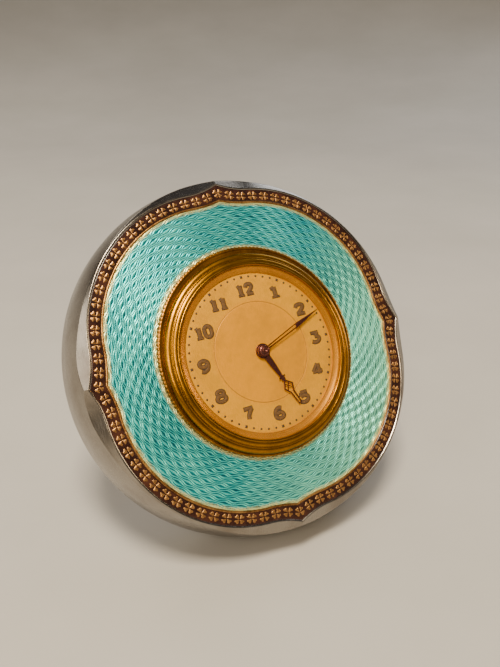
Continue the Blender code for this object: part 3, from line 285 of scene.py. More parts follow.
def plate(outline: np.ndarray, low: float, high: float, bevel: float) -> np.ndarray:
    """Four rings of a flat plate whose outline steps in by the bevel at both faces.

    A point steps in square to the line between its two neighbours.

    Args:
        outline: closed plane outline.
        low: height of the lower face.
        high: height of the upper face.
        bevel: width and height of the step.

    Returns:
        Grid of the four rings from low to high.
    """
    along = unit(np.roll(outline, -1, 0) - np.roll(outline, 1, 0))
    inner = outline + left_of(along) * winding(outline) * bevel
    return layers(((inner, low), (outline, low + bevel), (outline, high - bevel), (inner, high)))


def ribbon(
    path: np.ndarray, half: np.ndarray, low: float, high: float, closed: bool = False
) -> np.ndarray:
    """A flat strip with rounded shoulders along a plane path.

    Across the strip the section runs through share s of the half width at height z:
    (-1, low), (-1, shoulder), (-0.7, high), (0.7, high), (1, shoulder), (1, low).

    Args:
        path: plane points of the middle line.
        half: half width at each point.
        low: height of the underside.
        high: height of the top.
        closed: whether the path closes on itself.

    Returns:
        Grid of one section for each point of the path.
    """
    along = np.roll(path, -1, 0) - np.roll(path, 1, 0) if closed else np.gradient(path, axis=0)
    side = left_of(unit(along))
    shoulder = low + 0.72 * (high - low)
    right = [(1, low), (1, shoulder), (0.7, high)]
    section = np.array([(-share, height) for share, height in right] + right[::-1])
    flat_points = path[:, None] + side[:, None] * (half[:, None] * section[:, 0])[..., None]
    heights = np.broadcast_to(section[None, :, 1, None], flat_points.shape[:2] + (1,))
    return np.concatenate((flat_points, heights), -1)


def tube(path: np.ndarray, radius: float, around: int) -> np.ndarray:
    """A round bar along a path of equal height: p + r (cos b side + sin b z).

    Args:
        path: points of the middle line.
        radius: radius of the bar.
        around: points round it.

    Returns:
        Grid of one ring for each point of the path.
    """
    side = left_of(unit(np.gradient(path[:, :2], axis=0)))
    side = np.column_stack((side, np.zeros(len(path))))[:, None]
    angle = circle(around)[..., None]
    up = np.array((0.0, 0.0, 1.0))
    return path[:, None] + radius * (np.cos(angle) * side + np.sin(angle) * up)


def shade(mesh: bpy.types.Mesh, crease: float) -> None:
    """Shade a mesh smooth, except at edges sharper than an angle in degrees."""
    mesh.shade_smooth()
    mesh.set_sharp_from_angle(angle=math.radians(crease))


def add_object(name: str, data: bpy.types.ID) -> bpy.types.Object:
    """A new object of the scene, at the origin."""
    thing = bpy.data.objects.new(name, data)
    bpy.context.scene.collection.objects.link(thing)
    return thing


class Shape:
    """Points, faces and point values of one mesh, gathered from grids."""

    def __init__(self) -> None:
        """Start with nothing."""
        self.points: list[np.ndarray] = []
        self.faces: list[list[int]] = []
        self.values: dict[str, np.ndarray] = {}
        self.count = 0

    def add(
        self,
        grid: np.ndarray,
        first: Cap = Cap.OPEN,
        last: Cap = Cap.OPEN,
        loop: bool = False,
        values: dict[str, np.ndarray] | None = None,
    ) -> "Shape":
        """Add a grid of points as quads; its last column joins its first.

        Args:
            grid: points as (rows, columns, 3).
            first: closing of the first row.
            last: closing of the last row.
            loop: whether the last row joins the first.
            values: named numbers for the points of a shape that has this grid alone.

        Returns:
            This shape.
        """
        rows, columns = grid.shape[:2]
        index = self.count + np.arange(rows * columns).reshape(rows, columns)
        here, down = (index, np.roll(index, -1, 0)) if loop else (index[:-1], index[1:])
        quads = (here, np.roll(here, -1, 1), np.roll(down, -1, 1), down)
        self.faces += np.stack([q.ravel() for q in quads], -1).tolist()
        self.points.append(grid.reshape(-1, 3))
        self.count += rows * columns
        self.values.update(values or {})
        self.close(first, index[0], index[0][::-1])
        self.close(last, index[-1], index[-1])
        return self

    def close(self, cap: Cap, ring: np.ndarray, face: np.ndarray) -> None:
        """Close a row.

        Args:
            cap: one flat face, or a fan to a pole in the middle, or nothing.
            ring: numbers of the row's points.
            face: the same in the order in which a flat face takes them.
        """
        if cap is Cap.FLAT:
            self.faces.append(face.tolist())
        if cap is Cap.POLE:
            self.points.append(np.concatenate(self.points)[ring].mean(0)[None])
            fan = (ring, np.roll(ring, -1), np.full(len(ring), self.count))
            self.faces += np.stack(fan, -1).tolist()
            self.count += 1

    def mesh(
        self, name: str, axes: Axes, floor: bool = False, crease: float = CREASE
    ) -> bpy.types.Mesh:
        """Make the mesh, with outward normals.

        Args:
            name: name of the mesh.
            axes: frame in which the points are given.
            floor: whether points under the table are raised to it.
            crease: angle in degrees past which an edge stays sharp.

        Returns:
            The finished mesh in world metres.
        """
        mesh = bpy.data.meshes.new(name)
        world = axes.place(np.concatenate(self.points))
        if floor:
            world[:, 2] = np.maximum(world[:, 2], 0.0)
        mesh.from_pydata(world, [], self.faces)
        for key, numbers in self.values.items():
            attribute = mesh.attributes.new(key, "FLOAT", "POINT")
            attribute.data.foreach_set("value", numbers.ravel().astype(np.float32))
        work = bmesh.new()
        work.from_mesh(mesh)
        bmesh.ops.recalc_face_normals(work, faces=work.faces)
        work.to_mesh(mesh)
        work.free()
        shade(mesh, crease)
        return mesh


def capped(grid: np.ndarray, cap: Cap = Cap.FLAT) -> Shape:
    """A shape of one grid whose two ends are closed alike."""
    return Shape().add(grid, cap, cap)


def looped(grid: np.ndarray) -> Shape:
    """A shape of one grid whose last row joins its first."""
    return Shape().add(grid, loop=True)


@dataclass(frozen=True)
class Finish:
    """A material and the slot of the record that it is meant for."""

    material: bpy.types.Material
    slot: Slot


def make_piece(
    name: str,
    shape: Shape,
    axes: Axes,
    finish: Finish,
    replaces: str = "",
    body: str = "case",
    floor: bool = False,
    crease: float = CREASE,
    cutters: Sequence[Shape] = (),
) -> None:
    """Make an object of a shape, put it on its body and hide the CAD node that it stands for.

    Args:
        name: name of the piece.
        shape: its points and faces.
        axes: frame of its points.
        finish: its material and slot.
        replaces: CAD node that it stands for, if any.
        body: CAD body that it rides on.
        floor: whether points under the table are raised to it.
        crease: angle in degrees past which an edge stays sharp.
        cutters: closed shapes of the same frame that are cut out of it.
    """
    piece = add_object(name, shape.mesh(name, axes, floor, crease))
    for number, cutter in enumerate(cutters):
        carve(piece, cutter.mesh(f"{name}_cutter_{number}", axes), crease)
    piece.data.materials.clear()
    piece.data.materials.append(finish.material)
    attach(piece, body)
    if replaces:
        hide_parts(replaces)
    LOG.info("piece %s: %d faces on %s", name, len(piece.data.polygons), body)


def carve(piece: bpy.types.Object, cutter_mesh: bpy.types.Mesh, crease: float) -> None:
    """Cut a closed mesh out of a piece and keep the result as its mesh.

    Args:
        piece: the object that is cut.
        cutter_mesh: what is taken away.
        crease: angle in degrees past which an edge of the result stays sharp.
    """
    cutter = add_object(cutter_mesh.name, cutter_mesh)
    modifier = piece.modifiers.new("cut", "BOOLEAN")
    modifier.operation = "DIFFERENCE"
    modifier.solver = "EXACT"
    modifier.object = cutter
    graph = bpy.context.evaluated_depsgraph_get()
    mesh = bpy.data.meshes.new_from_object(piece.evaluated_get(graph))
    piece.modifiers.clear()
    piece.data = mesh
    shade(mesh, crease)
    bpy.data.objects.remove(cutter)


@dataclass(frozen=True)
class Grain:
    """A noise: how fine it is in cells per millimetre, its octaves and their strength."""

    scale: float
    detail: float = 2.0
    roughness: float = 0.5


class Recipe:
    """A node material under construction, with short calls for its nodes."""

    def __init__(self, name: str) -> None:
        """Start a material with one Principled shader.

        Args:
            name: name of the material.
        """
        self.material = bpy.data.materials.new(name)
        self.material.use_nodes = True
        self.tree = self.material.node_tree
        self.tree.nodes.clear()
        self.output = self.node("OutputMaterial")
        self.shader = self.node("BsdfPrincipled")
        self.put(self.output.inputs["Surface"], self.shader.outputs["BSDF"])

    def put(self, socket: Socket, value: object) -> None:
        """Link a socket, or set its own value.

        Args:
            socket: an input.
            value: an output to link, or a constant.
        """
        if isinstance(value, Socket):
            self.tree.links.new(value, socket)
        elif isinstance(value, tuple) and len(value) == 3 and socket.type == "RGBA":
            socket.default_value = (*value, 1.0)
        else:
            socket.default_value = value

    def fill(self, node: bpy.types.Node, **inputs: object) -> None:
        """Link or set a node's inputs by name; an underscore stands for a space."""
        for name, value in inputs.items():
            self.put(node.inputs[name.replace("_", " ")], value)

    def set(self, **inputs: object) -> None:
        """Link or set inputs of the shader."""
        self.fill(self.shader, **inputs)

    def node(self, kind: str, **inputs: object) -> bpy.types.Node:
        """A node of a kind, with some inputs linked or set."""
        node = self.tree.nodes.new("ShaderNode" + kind)
        self.fill(node, **inputs)
        return node

    def math(self, operation: str, *values: object) -> Socket:
        """A Math node.

        Args:
            operation: what the node works out.
            values: its inputs in order.

        Returns:
            The result.
        """
        node = self.node("Math")
        node.operation = operation
        for socket, value in zip(node.inputs, values):
            self.put(socket, value)
        return node.outputs[0]

    def times(self, first: object, second: object) -> Socket:
        """A product."""
        return self.math("MULTIPLY", first, second)

    def times_plus(self, first: object, second: object, third: object) -> Socket:
        """The first times the second, plus the third."""
        return self.math("MULTIPLY_ADD", first, second, third)

    def mix(self, share: object, first: object, second: object) -> Socket:
        """A colour between two others.

        Args:
            share: share of the second colour.
            first: the one colour.
            second: the other.

        Returns:
            The colour.
        """
        node = self.node("Mix")
        node.data_type = "RGBA"
        for number, value in ((0, share), (6, first), (7, second)):
            self.put(node.inputs[number], value)
        return node.outputs[2]

    def scale(self, value: object, source: Span, target: Span) -> Socket:
        """A number mapped from one range to another and held inside it.

        Args:
            value: the number.
            source: the range it is in.
            target: the range it gets.

        Returns:
            The mapped number.
        """
        node = self.node("MapRange")
        for number, part in enumerate((value, *source, *target)):
            self.put(node.inputs[number], part)
        return node.outputs[0]

    def stain(
        self, ground: object, colour: Triple, value: object, source: Span, share: float
    ) -> Socket:
        """A ground that takes on a share of a colour as a value rises through a range."""
        return self.mix(self.scale(value, source, (0.0, share)), ground, colour)

    def point(self, axes: Axes, stretch: Triple | None = None) -> Socket:
        """Surface point in a frame of the clock, in millimetres.

        Args:
            axes: the frame.
            stretch: factors along its directions, if any.

        Returns:
            The point.
        """
        mapping = self.node(
            "Mapping",
            Vector=self.node("TexCoord").outputs["Object"],
            Rotation=Matrix(axes.turn.T.tolist()).to_euler(),
            Scale=(1.0 / MM,) * 3,
            Location=Vector(-(axes.turn.T @ axes.origin) / MM),
        )
        if stretch is None:
            return mapping.outputs[0]
        return self.node("Mapping", Vector=mapping.outputs[0], Scale=stretch).outputs[0]

    def parts(self, vector: Socket) -> tuple[Socket, ...]:
        """The three parts of a vector."""
        return tuple(self.node("SeparateXYZ", Vector=vector).outputs)

    def join(self, x: object, y: object, z: object) -> Socket:
        """A vector of three parts."""
        return self.node("CombineXYZ", X=x, Y=y, Z=z).outputs[0]

    def polar(self, vector: Socket) -> tuple[Socket, ...]:
        """Radius, angle and height of a point about the z direction."""
        x, y, z = self.parts(vector)
        square = self.times_plus(x, x, self.times(y, y))
        return self.math("SQRT", square), self.math("ARCTAN2", y, x), z

    def noise(self, vector: Socket, grain: Grain) -> Socket:
        """Noise from zero to one."""
        inputs = {"Scale": grain.scale, "Detail": grain.detail, "Roughness": grain.roughness}
        return self.node("TexNoise", Vector=vector, **inputs).outputs["Fac"]

    def value(self, name: str) -> Socket:
        """A point value of the mesh."""
        node = self.node("Attribute")
        node.attribute_name = name
        return node.outputs["Fac"]

    def ramp(self, value: object, *stops: tuple[float, Triple]) -> Socket:
        """A colour ramp through stops of (position, colour).

        Args:
            value: the number that picks the colour.
            stops: the stops in order.

        Returns:
            The colour.
        """
        node = self.node("ValToRGB", Fac=value)
        elements = node.color_ramp.elements
        while len(elements) < len(stops):
            elements.new(0.5)
        for element, (position, colour) in zip(elements, stops):
            element.position = position
            element.color = (*colour, 1.0)
        return node.outputs["Color"]

    def bump(
        self, height: object, depth: float, strength: float = 1.0, under: Socket | None = None
    ) -> Socket:
        """Surface relief.

        Args:
            height: a height from zero to one.
            depth: the relief's depth in millimetres.
            strength: its share.
            under: relief that it lies on, if any.

        Returns:
            The normal.
        """
        node = self.node("Bump", Strength=strength, Distance=depth * MM, Height=height)
        if under is not None:
            self.fill(node, Normal=under)
        return node.outputs[0]


@dataclass(frozen=True)
class Look:
    """What all finishes share; each says in paint how its nodes are joined."""

    name: str

    def dress(self) -> bpy.types.Material:
        """Make the material."""
        recipe = Recipe(self.name)
        self.paint(recipe)
        return recipe.material

    def paint(self, r: Recipe) -> None:
        """Join the nodes of the material."""
        raise NotImplementedError


@dataclass(frozen=True)
class PolishedSilver(Look):
    """Old polished silver: clouded tarnish, hairline scratches and softened shine."""

    name: str = "polished_silver"
    bright: Triple = (0.305, 0.276, 0.238)
    tarnish: Triple = (0.095, 0.062, 0.038)
    roughness: Span = (0.13, 0.34)
    cloud: Grain = Grain(0.055, 4.0, 0.6)
    speck: Grain = Grain(0.9, 5.0, 0.65)
    hairline: Grain = Grain(1.0, 6.0, 0.75)
    rubbed: Grain = Grain(0.8, 4.0, 0.7)

    def paint(self, r: Recipe) -> None:
        """Hairlines run round the drum, rubbed marks run upright; both roughen it.

        Args:
            r: the material.
        """
        point = r.point(FACE)
        cloud, speck = r.noise(point, self.cloud), r.noise(point, self.speck)
        radius, angle, height = r.polar(point)
        around = r.join(r.times(angle, 6.0), r.times(radius, 2.0), r.times(height, 9.0))
        hairs = r.noise(around, self.hairline)
        cross = r.noise(r.point(FACE, (5.0, 0.35, 1.2)), self.rubbed)
        ground = r.stain(self.bright, self.tarnish, cloud, (0.42, 0.76), 0.80)
        r.set(Base_Color=r.stain(ground, self.tarnish, speck, (0.60, 0.78), 0.35), Metallic=1.0)
        wear = r.times_plus(hairs, 0.6, r.times(cross, 0.4))
        r.set(Roughness=r.scale(wear, (0.32, 0.68), self.roughness))
        r.set(Normal=r.bump(wear, 0.012, 0.5, r.bump(cloud, 0.25, 0.35)))


@dataclass(frozen=True)
class EngineTurnedEnamel(Look):
    """Turquoise glass enamel over silver that was cut with waved rings on a rose engine.

    The cut height at radius r and angle a is sin(2 pi (r + A cos(n a) cos(2 pi r / Q)) / p).
    """

    name: str = "turquoise_enamel"
    pitch: float = 0.56
    wave: float = 0.27
    waves_round: float = 56.0
    wave_repeat: float = 2.7
    cloud_share: float = 0.55
    cut_share: float = 0.66
    tone_shift: float = -0.13
    grain_share: float = 0.30
    # share of the painted shine and shade on the waves' sides in the tone
    flank_share: float = 0.14
    stops: Triple = (0.14, 0.52, 0.92)
    deep: Triple = (0.002, 0.095, 0.130)
    middle: Triple = (0.006, 0.47, 0.50)
    pale: Triple = (0.20, 0.95, 0.78)
    # colour of the painted sheen on the right and lower side of the panel
    mint: Triple = (0.50, 1.0, 0.42)
    fringe: Triple = (0.95, 0.84, 0.26)
    roughness: Span = (0.26, 0.42)
    drift: Grain = Grain(0.35, 1.0)
    cloud: Grain = Grain(0.10, 3.0, 0.55)
    grain: Grain = Grain(3.2, 3.0, 0.6)
    ragged: Grain = Grain(1.7)
    speckle: Grain = Grain(2.6)
    metallic: float = 0.72
    coat: Triple = (0.60, 0.14, 1.45)

    def paint(self, r: Recipe) -> None:
        """The tone adds up cuts, clouds, grain and a painted shine and shade of the waves' sides,
        and picks the glass's colour.

        Args:
            r: the material.
        """
        point = r.point(FACE)
        crest, painted_wave_light = self.cuts(r, point)
        cloud, grain = r.noise(point, self.cloud), r.noise(point, self.grain)
        tone = r.times_plus(crest, self.cut_share, self.tone_shift)
        tone = r.times_plus(cloud, self.cloud_share, tone)
        tone = r.times_plus(r.math("SUBTRACT", grain, 0.5), self.grain_share, tone)
        # painted shine and shade: one side of each wave is lightened, the other darkened
        tone = r.times_plus(painted_wave_light, self.flank_share, tone)
        glass = r.ramp(tone, *zip(self.stops, (self.deep, self.middle, self.pale)))
        # painted sheen: the panel turns towards mint from left to right and from top to bottom, as
        # if lit from there
        x, y, _ = r.parts(point)
        painted_sheen_right = r.scale(r.times_plus(x, 0.85, r.times(y, -0.55)), (5.0, 46.0), (0.0, 0.55))
        glass = r.mix(r.times(painted_sheen_right, r.scale(tone, (0.25, 0.80), (0.3, 1.0))), glass, self.mint)
        glass = r.mix(self.fringe_share(r, point, grain, tone), glass, self.fringe)
        r.set(Base_Color=glass, Metallic=self.metallic)
        r.set(Roughness=r.scale(grain, (0.3, 0.7), self.roughness))
        r.set(Normal=r.bump(grain, 0.05, 0.6, r.bump(crest, 0.085)))
        weight, roughness, index = self.coat
        r.set(Coat_Weight=weight, Coat_Roughness=roughness, Coat_IOR=index)

    def cuts(self, r: Recipe, point: Socket) -> tuple[Socket, Socket]:
        """Height of the cuts, and a painted shine and shade on one and the other side of their
        waves.

        Args:
            r: the material.
            point: point of the face.

        Returns:
            The height from zero to one, and the painted shine and shade from minus one to one.
        """
        radius, angle, _ = r.polar(point)
        drift = r.scale(r.noise(point, self.drift), (0.2, 0.8), (-0.06, 0.06))
        around = r.times(angle, self.waves_round)
        swell = r.math("COSINE", r.times(radius, TURN / self.wave_repeat))
        waves = r.times(r.math("COSINE", around), swell)
        shifted = r.times_plus(waves, self.wave, r.math("ADD", radius, drift))
        cut = r.math("SINE", r.times(shifted, TURN / self.pitch))
        return r.times_plus(cut, 0.5, 0.5), r.times(r.math("SINE", around), swell)

    def fringe_share(self, r: Recipe, point: Socket, grain: Socket, tone: Socket) -> Socket:
        """Share of the pale speckled fringe along both edges of the panel.

        Args:
            r: the material.
            point: point of the face.
            grain: the enamel's grain.
            tone: the enamel's tone.

        Returns:
            The share.
        """
        ragged = r.times_plus(r.noise(point, self.ragged), 1.1, r.times(grain, 0.5))
        near = r.math("MINIMUM", r.value("outer_gap"), r.value("inner_gap"))
        share = r.scale(r.math("SUBTRACT", near, r.times(ragged, 1.1)), (-0.55, 0.15), (0.95, 0.0))
        speckle = r.scale(r.noise(point, self.speckle), (0.38, 0.54), (0.40, 1.0))
        return r.times(share, r.times(speckle, r.scale(tone, (0.30, 0.55), (0.70, 1.0))))


@dataclass(frozen=True)
class BorderEnamel(Look):
    """Black-brown glossy enamel with fine pits."""

    name: str = "border_enamel"
    ground: Triple = (0.016, 0.0050, 0.0032)
    worn: Triple = (0.075, 0.026, 0.014)
    roughness: Span = (0.16, 0.36)
    cloud: Grain = Grain(0.22, 4.0, 0.6)
    pits: Grain = Grain(4.0, 3.0, 0.7)

    def paint(self, r: Recipe) -> None:
        """Clouds wear the ground; pits dull and dent it.

        Args:
            r: the material.
        """
        point = r.point(FACE)
        cloud, pits = r.noise(point, self.cloud), r.noise(point, self.pits)
        r.set(Base_Color=r.stain(self.ground, self.worn, cloud, (0.42, 0.78), 0.8))
        r.set(Roughness=r.scale(pits, (0.35, 0.75), self.roughness))
        r.set(Normal=r.bump(pits, 0.03, 0.5), Coat_Weight=0.25, Coat_Roughness=0.10)


@dataclass(frozen=True)
class Gilding(Look):
    """Gold over metal, with turned lines about the movement's axis, patina and worn spots."""

    bright: Triple
    brown: Triple
    roughness: Span
    axes: Axes = MOVEMENT
    lines: Grain = Grain(5.0, 3.0, 0.7)
    line_depth: float = 0.012
    line_strength: float = 0.8
    grain: Grain = Grain(1.4, 5.0, 0.65)
    grain_depth: float = 0.02
    cloud: Grain = Grain(0.16, 4.0, 0.6)
    patina: Span = (0.50, 0.78)
    metallic: float = 1.0

    def paint(self, r: Recipe) -> None:
        """Patina gathers where grain and clouds meet; lines and grain roughen the gold.

        Args:
            r: the material.
        """
        point = r.point(self.axes)
        radius, angle, height = r.polar(point)
        lines = r.noise(r.join(r.times(angle, 0.6), radius, height), self.lines)
        grain, cloud = r.noise(point, self.grain), r.noise(point, self.cloud)
        patina = r.times_plus(grain, 0.45, r.times(cloud, 0.6))
        gold = r.stain(self.bright, self.brown, patina, self.patina, 0.9)
        r.set(Base_Color=gold, Metallic=self.metallic)
        wear = r.times_plus(lines, 0.6, r.times(grain, 0.4))
        r.set(Roughness=r.scale(wear, (0.3, 0.7), self.roughness))
        turned = r.bump(lines, self.line_depth, self.line_strength)
        r.set(Normal=r.bump(grain, self.grain_depth, 0.6, turned))


@dataclass(frozen=True)
class SatinDial(Look):
    """Satin gilt dial: upright brushed grain, a paler chapter ring and small age spots."""

    name: str = "gilt_dial"
    middle: Triple = (1.0, 0.43, 0.004)
    chapter: Triple = (1.0, 0.47, 0.010)
    spot: Triple = (0.32, 0.14, 0.025)
    roughness: Span = (0.36, 0.52)
    circle_radius: float = 14.0
    grain: Grain = Grain(1.0, 4.0, 0.7)
    cloud: Grain = Grain(0.13, 4.0, 0.6)
    spots: Grain = Grain(1.5, 5.0, 0.75)

    def paint(self, r: Recipe) -> None:
        """Clouds, grain, the engraved circle and spots darken the ground one after another.

        Args:
            r: the material.
        """
        point = r.point(MOVEMENT)
        radius, _, _ = r.polar(point)
        grain = r.noise(r.point(MOVEMENT, (9.0, 0.9, 1.0)), self.grain)
        cloud, spots = r.noise(point, self.cloud), r.noise(point, self.spots)
        edge = (self.circle_radius - 0.15, self.circle_radius + 1.2)
        ground = r.stain(self.middle, self.chapter, radius, edge, 1.0)
        ground = r.stain(ground, self.spot, cloud, (0.45, 0.78), 0.35)
        ground = r.mix(r.scale(grain, (0.32, 0.66), (0.30, 0.0)), ground, self.spot)
        line = r.math("ABSOLUTE", r.math("SUBTRACT", radius, self.circle_radius))
        ground = r.mix(r.scale(line, (0.05, 0.16), (0.80, 0.0)), ground, self.spot)
        r.set(Base_Color=r.stain(ground, self.spot, spots, (0.64, 0.74), 0.55))
        roughness = r.scale(grain, (0.3, 0.7), self.roughness)
        r.set(Metallic=0.55, Specular_IOR_Level=0.15, Roughness=roughness)
        r.set(Normal=r.bump(grain, 0.014, 0.6, r.bump(spots, 0.03, 0.4)))


@dataclass(frozen=True)
class Paint(Look):
    """Aged luminous paint or lacquer: matt, mottled, slightly cracked."""

    light: Triple
    dark: Triple
    roughness: float = 0.6
    metallic: float = 0.0
    mottle: Grain = Grain(2.4, 5.0, 0.7)

    def paint(self, r: Recipe) -> None:
        """One mottle changes colour, roughness and relief.

        Args:
            r: the material.
        """
        mottle = r.noise(r.point(MOVEMENT), self.mottle)
        colour = r.stain(self.light, self.dark, mottle, (0.36, 0.66), 1.0)
        r.set(Base_Color=colour, Metallic=self.metallic)
        r.set(Roughness=r.scale(mottle, (0.3, 0.7), (self.roughness - 0.1, self.roughness + 0.15)))
        r.set(Normal=r.bump(mottle, 0.05, 0.5))


@dataclass(frozen=True)
class ClearGlass(Look):
    """Thin domed glass: clear, with a mirror share that grows at grazing angles, and a faint film.

    The mirror share is low + (high - low) facing^5, alike on both sides of the glass.
    """

    name: str = "crystal_glass"
    mirror_share: Span = (0.024, 0.80)
    tint: Triple = (0.985, 0.99, 0.985)
    roughness: Span = (0.02, 0.12)
    film: Grain = Grain(0.12, 4.0, 0.65)

    def paint(self, r: Recipe) -> None:
        """Mix a transparent and a glossy shader; both leave the glass without thickness.

        Args:
            r: the material.
        """
        r.tree.nodes.remove(r.shader)
        film = r.noise(r.point(MOVEMENT), self.film)
        clear = r.node("BsdfTransparent", Color=self.tint)
        shine = r.node("BsdfGlossy", Roughness=r.scale(film, (0.35, 0.75), self.roughness))
        grazing = r.math("POWER", r.node("LayerWeight", Blend=0.5).outputs["Facing"], 5.0)
        blend = r.node("MixShader", Fac=r.scale(grazing, (0.0, 1.0), self.mirror_share))
        r.put(blend.inputs[1], clear.outputs[0])
        r.put(blend.inputs[2], shine.outputs[0])
        r.fill(r.output, Surface=blend.outputs[0])


@dataclass(frozen=True)
class TableTop(Look):
    """Pale plain table, very faintly mottled; its grains are counted per metre."""

    name: str = "pale_table"
    light: Triple = (0.45, 0.435, 0.41)
    dark: Triple = (0.405, 0.39, 0.365)
    roughness: Span = (0.66, 0.78)
    mottle: Grain = Grain(9.0, 4.0, 0.6)
    grain: Grain = Grain(700.0, 2.0, 0.6)

    def paint(self, r: Recipe) -> None:
        """Broad mottle in the colour, fine grain in the surface.

        Args:
            r: the material.
        """
        point = r.node("TexCoord").outputs["Object"]
        mottle, grain = r.noise(point, self.mottle), r.noise(point, self.grain)
        colour = r.stain(self.light, self.dark, mottle, (0.3, 0.7), 1.0)
        r.set(Base_Color=colour, Specular_IOR_Level=0.15)
        r.set(Roughness=r.scale(grain, (0.3, 0.7), self.roughness), Normal=r.bump(grain, 0.08, 0.4))


def made(slot: Slot, look: Look) -> Finish:
    """A field whose default is the finish made of a look."""
    return field(default_factory=lambda: Finish(look.dress(), slot))


def gilt(
    name: str,
    bright: Triple,
    brown: Triple,
    roughness: Span,
    slot: Slot = Slot.GILT_BEZEL,
    **rest: object,
) -> Finish:
    """A field whose default is a gilding or another turned metal."""
    return made(slot, Gilding(name, bright, brown, roughness, **rest))


@dataclass
class Finishes:
    """The clock's finishes, one material each."""

    silver: Finish = made(Slot.SILVER, PolishedSilver())
    turquoise: Finish = made(Slot.TURQUOISE, EngineTurnedEnamel())
    border: Finish = made(Slot.BORDER, BorderEnamel())
    flower: Finish = gilt(
        "flower_gold", (0.48, 0.25, 0.085), (0.18, 0.07, 0.02), (0.28, 0.50), Slot.GOLD,
        axes=FACE, grain=Grain(2.2, 5.0, 0.65), grain_depth=0.06,
    )
    fillet: Finish = gilt(
        "fillet_gold", (0.52, 0.28, 0.09), (0.12, 0.045, 0.015), (0.28, 0.50), Slot.GOLD,
        axes=FACE, grain=Grain(1.8, 5.0, 0.65), grain_depth=0.09, patina=(0.42, 0.62),
    )
    bezel: Finish = gilt(
        "gilt_bezel", (0.37, 0.160, 0.004), (0.11, 0.048, 0.003), (0.24, 0.36),
        line_depth=0.006, line_strength=0.5, patina=(0.44, 0.78),
    )
    reflector: Finish = gilt(
        "gilt_reflector", (0.56, 0.22, 0.003), (0.32, 0.11, 0.002), (0.20, 0.32),
        line_depth=0.004, metallic=0.6,
    )
    coin: Finish = gilt(
        "gilt_coin_ring", (0.36, 0.155, 0.020), (0.07, 0.026, 0.006), (0.26, 0.46),
        patina=(0.42, 0.68),
    )
    back_gilt: Finish = gilt(
        "back_gilding", (0.80, 0.54, 0.22), (0.42, 0.24, 0.08), (0.22, 0.42), line_depth=0.02
    )
    dial: Finish = made(Slot.GILT_DIAL, SatinDial())
    numeral: Finish = made(
        Slot.GILT_DIAL, Paint("numeral_fill", (0.14, 0.060, 0.005), (0.065, 0.028, 0.003))
    )
    outline: Finish = made(
        Slot.GILT_DIAL, Paint("numeral_outline", (0.060, 0.028, 0.007), (0.030, 0.013, 0.004), 0.45)
    )
    hand: Finish = made(
        Slot.BLUED_STEEL,
        Paint("purple_brown_steel", (0.17, 0.055, 0.040), (0.075, 0.022, 0.020), 0.30, 0.85),
    )
    glass: Finish = made(Slot.GLASS, ClearGlass())
    steel: Finish = gilt(
        "bright_steel", (0.56, 0.56, 0.57), (0.33, 0.31, 0.29), (0.16, 0.34),
        Slot.STEEL, grain_depth=0.01,
    )
    brass: Finish = gilt(
        "movement_brass", (0.78, 0.57, 0.25), (0.48, 0.31, 0.11), (0.24, 0.42),
        Slot.BRASS, grain_depth=0.015,
    )


@dataclass(frozen=True)
class FaceOutline:
    """Outline of the enamelled face: four lobes that meet in a point at 12, 3, 6 and 9."""

    radius: float = 48.0
    lobe_centre: float = 9.6
    lobe_radius: float = 38.88
    cusp_rise: float = 2.928
    cusp_half_width: float = math.radians(11.5)
    border_width: float = 3.26
    cusp_extra: float = 0.85
    per_quadrant: int = 192
    crowding: float = 1.35

    def stations(self) -> np.ndarray:
        """Angles round the face, closer near each cusp: cusp + 45 deg sign(s) |s|^1.35."""
        s = -1.0 + 2.0 * np.arange(self.per_quadrant) / self.per_quadrant
        near = math.pi / 4 * np.sign(s) * np.abs(s) ** self.crowding
        return (np.arange(4)[:, None] * QUARTER + near[None, :]).reshape(1, -1)

    def from_cusp(self, angle: np.ndarray) -> np.ndarray:
        """Angle from the nearest cusp."""
        return np.abs((angle + QUARTER / 2) % QUARTER - QUARTER / 2)

    def falloff(self, angle: np.ndarray) -> np.ndarray:
        """One at a cusp, falling as a square to zero at the cusp's half width."""
        return np.maximum(0.0, 1.0 - self.from_cusp(angle) / self.cusp_half_width) ** 2

    def outer(self, angle: np.ndarray) -> np.ndarray:
        """Radius of a circle of the lobe radius about the lobe's centre, plus the cusp's rise.

        Args:
            angle: angles round the face.

        Returns:
            The radius at each angle.
        """
        across = math.pi / 4 - self.from_cusp(angle)
        lobe = self.lobe_centre * np.cos(across)
        lobe = lobe + np.sqrt(self.lobe_radius**2 - (self.lobe_centre * np.sin(across)) ** 2)
        return lobe + self.cusp_rise * self.falloff(angle)

    def inner(self, angle: np.ndarray) -> np.ndarray:
        """Inner radius of the border, which is wider at each cusp."""
        return self.outer(angle) - self.border_width - self.cusp_extra * self.falloff(angle)


OUTLINE = FaceOutline()


def band(
    outer: np.ndarray, inner: Numbers, low: float, shares: np.ndarray, tops: np.ndarray
) -> np.ndarray:
    """A closed strip between two outlines at the face's stations.

    Its top runs inwards: at share s the radius is outer + s (inner - outer) and z is tops(s).

    Args:
        outer: outer radius at each station.
        inner: inner radius, alike.
        low: height of the underside.
        shares: shares of the way inwards.
        tops: height of the top at each share.

    Returns:
        Grid of rows from the outer foot over the top to the inner foot.
    """
    angle = OUTLINE.stations()
    top = ring_points(angle, outer + shares[:, None] * (inner - outer), tops[:, None])
    return np.concatenate((ring_points(angle, outer, low), top, ring_points(angle, inner, low)))


@dataclass
class SubAssembly:
    """What all sub-assemblies share; each says in build how its pieces are made."""

    finishes: Finishes

    def build(self) -> None:
        """Build and dress the pieces."""
        raise NotImplementedError


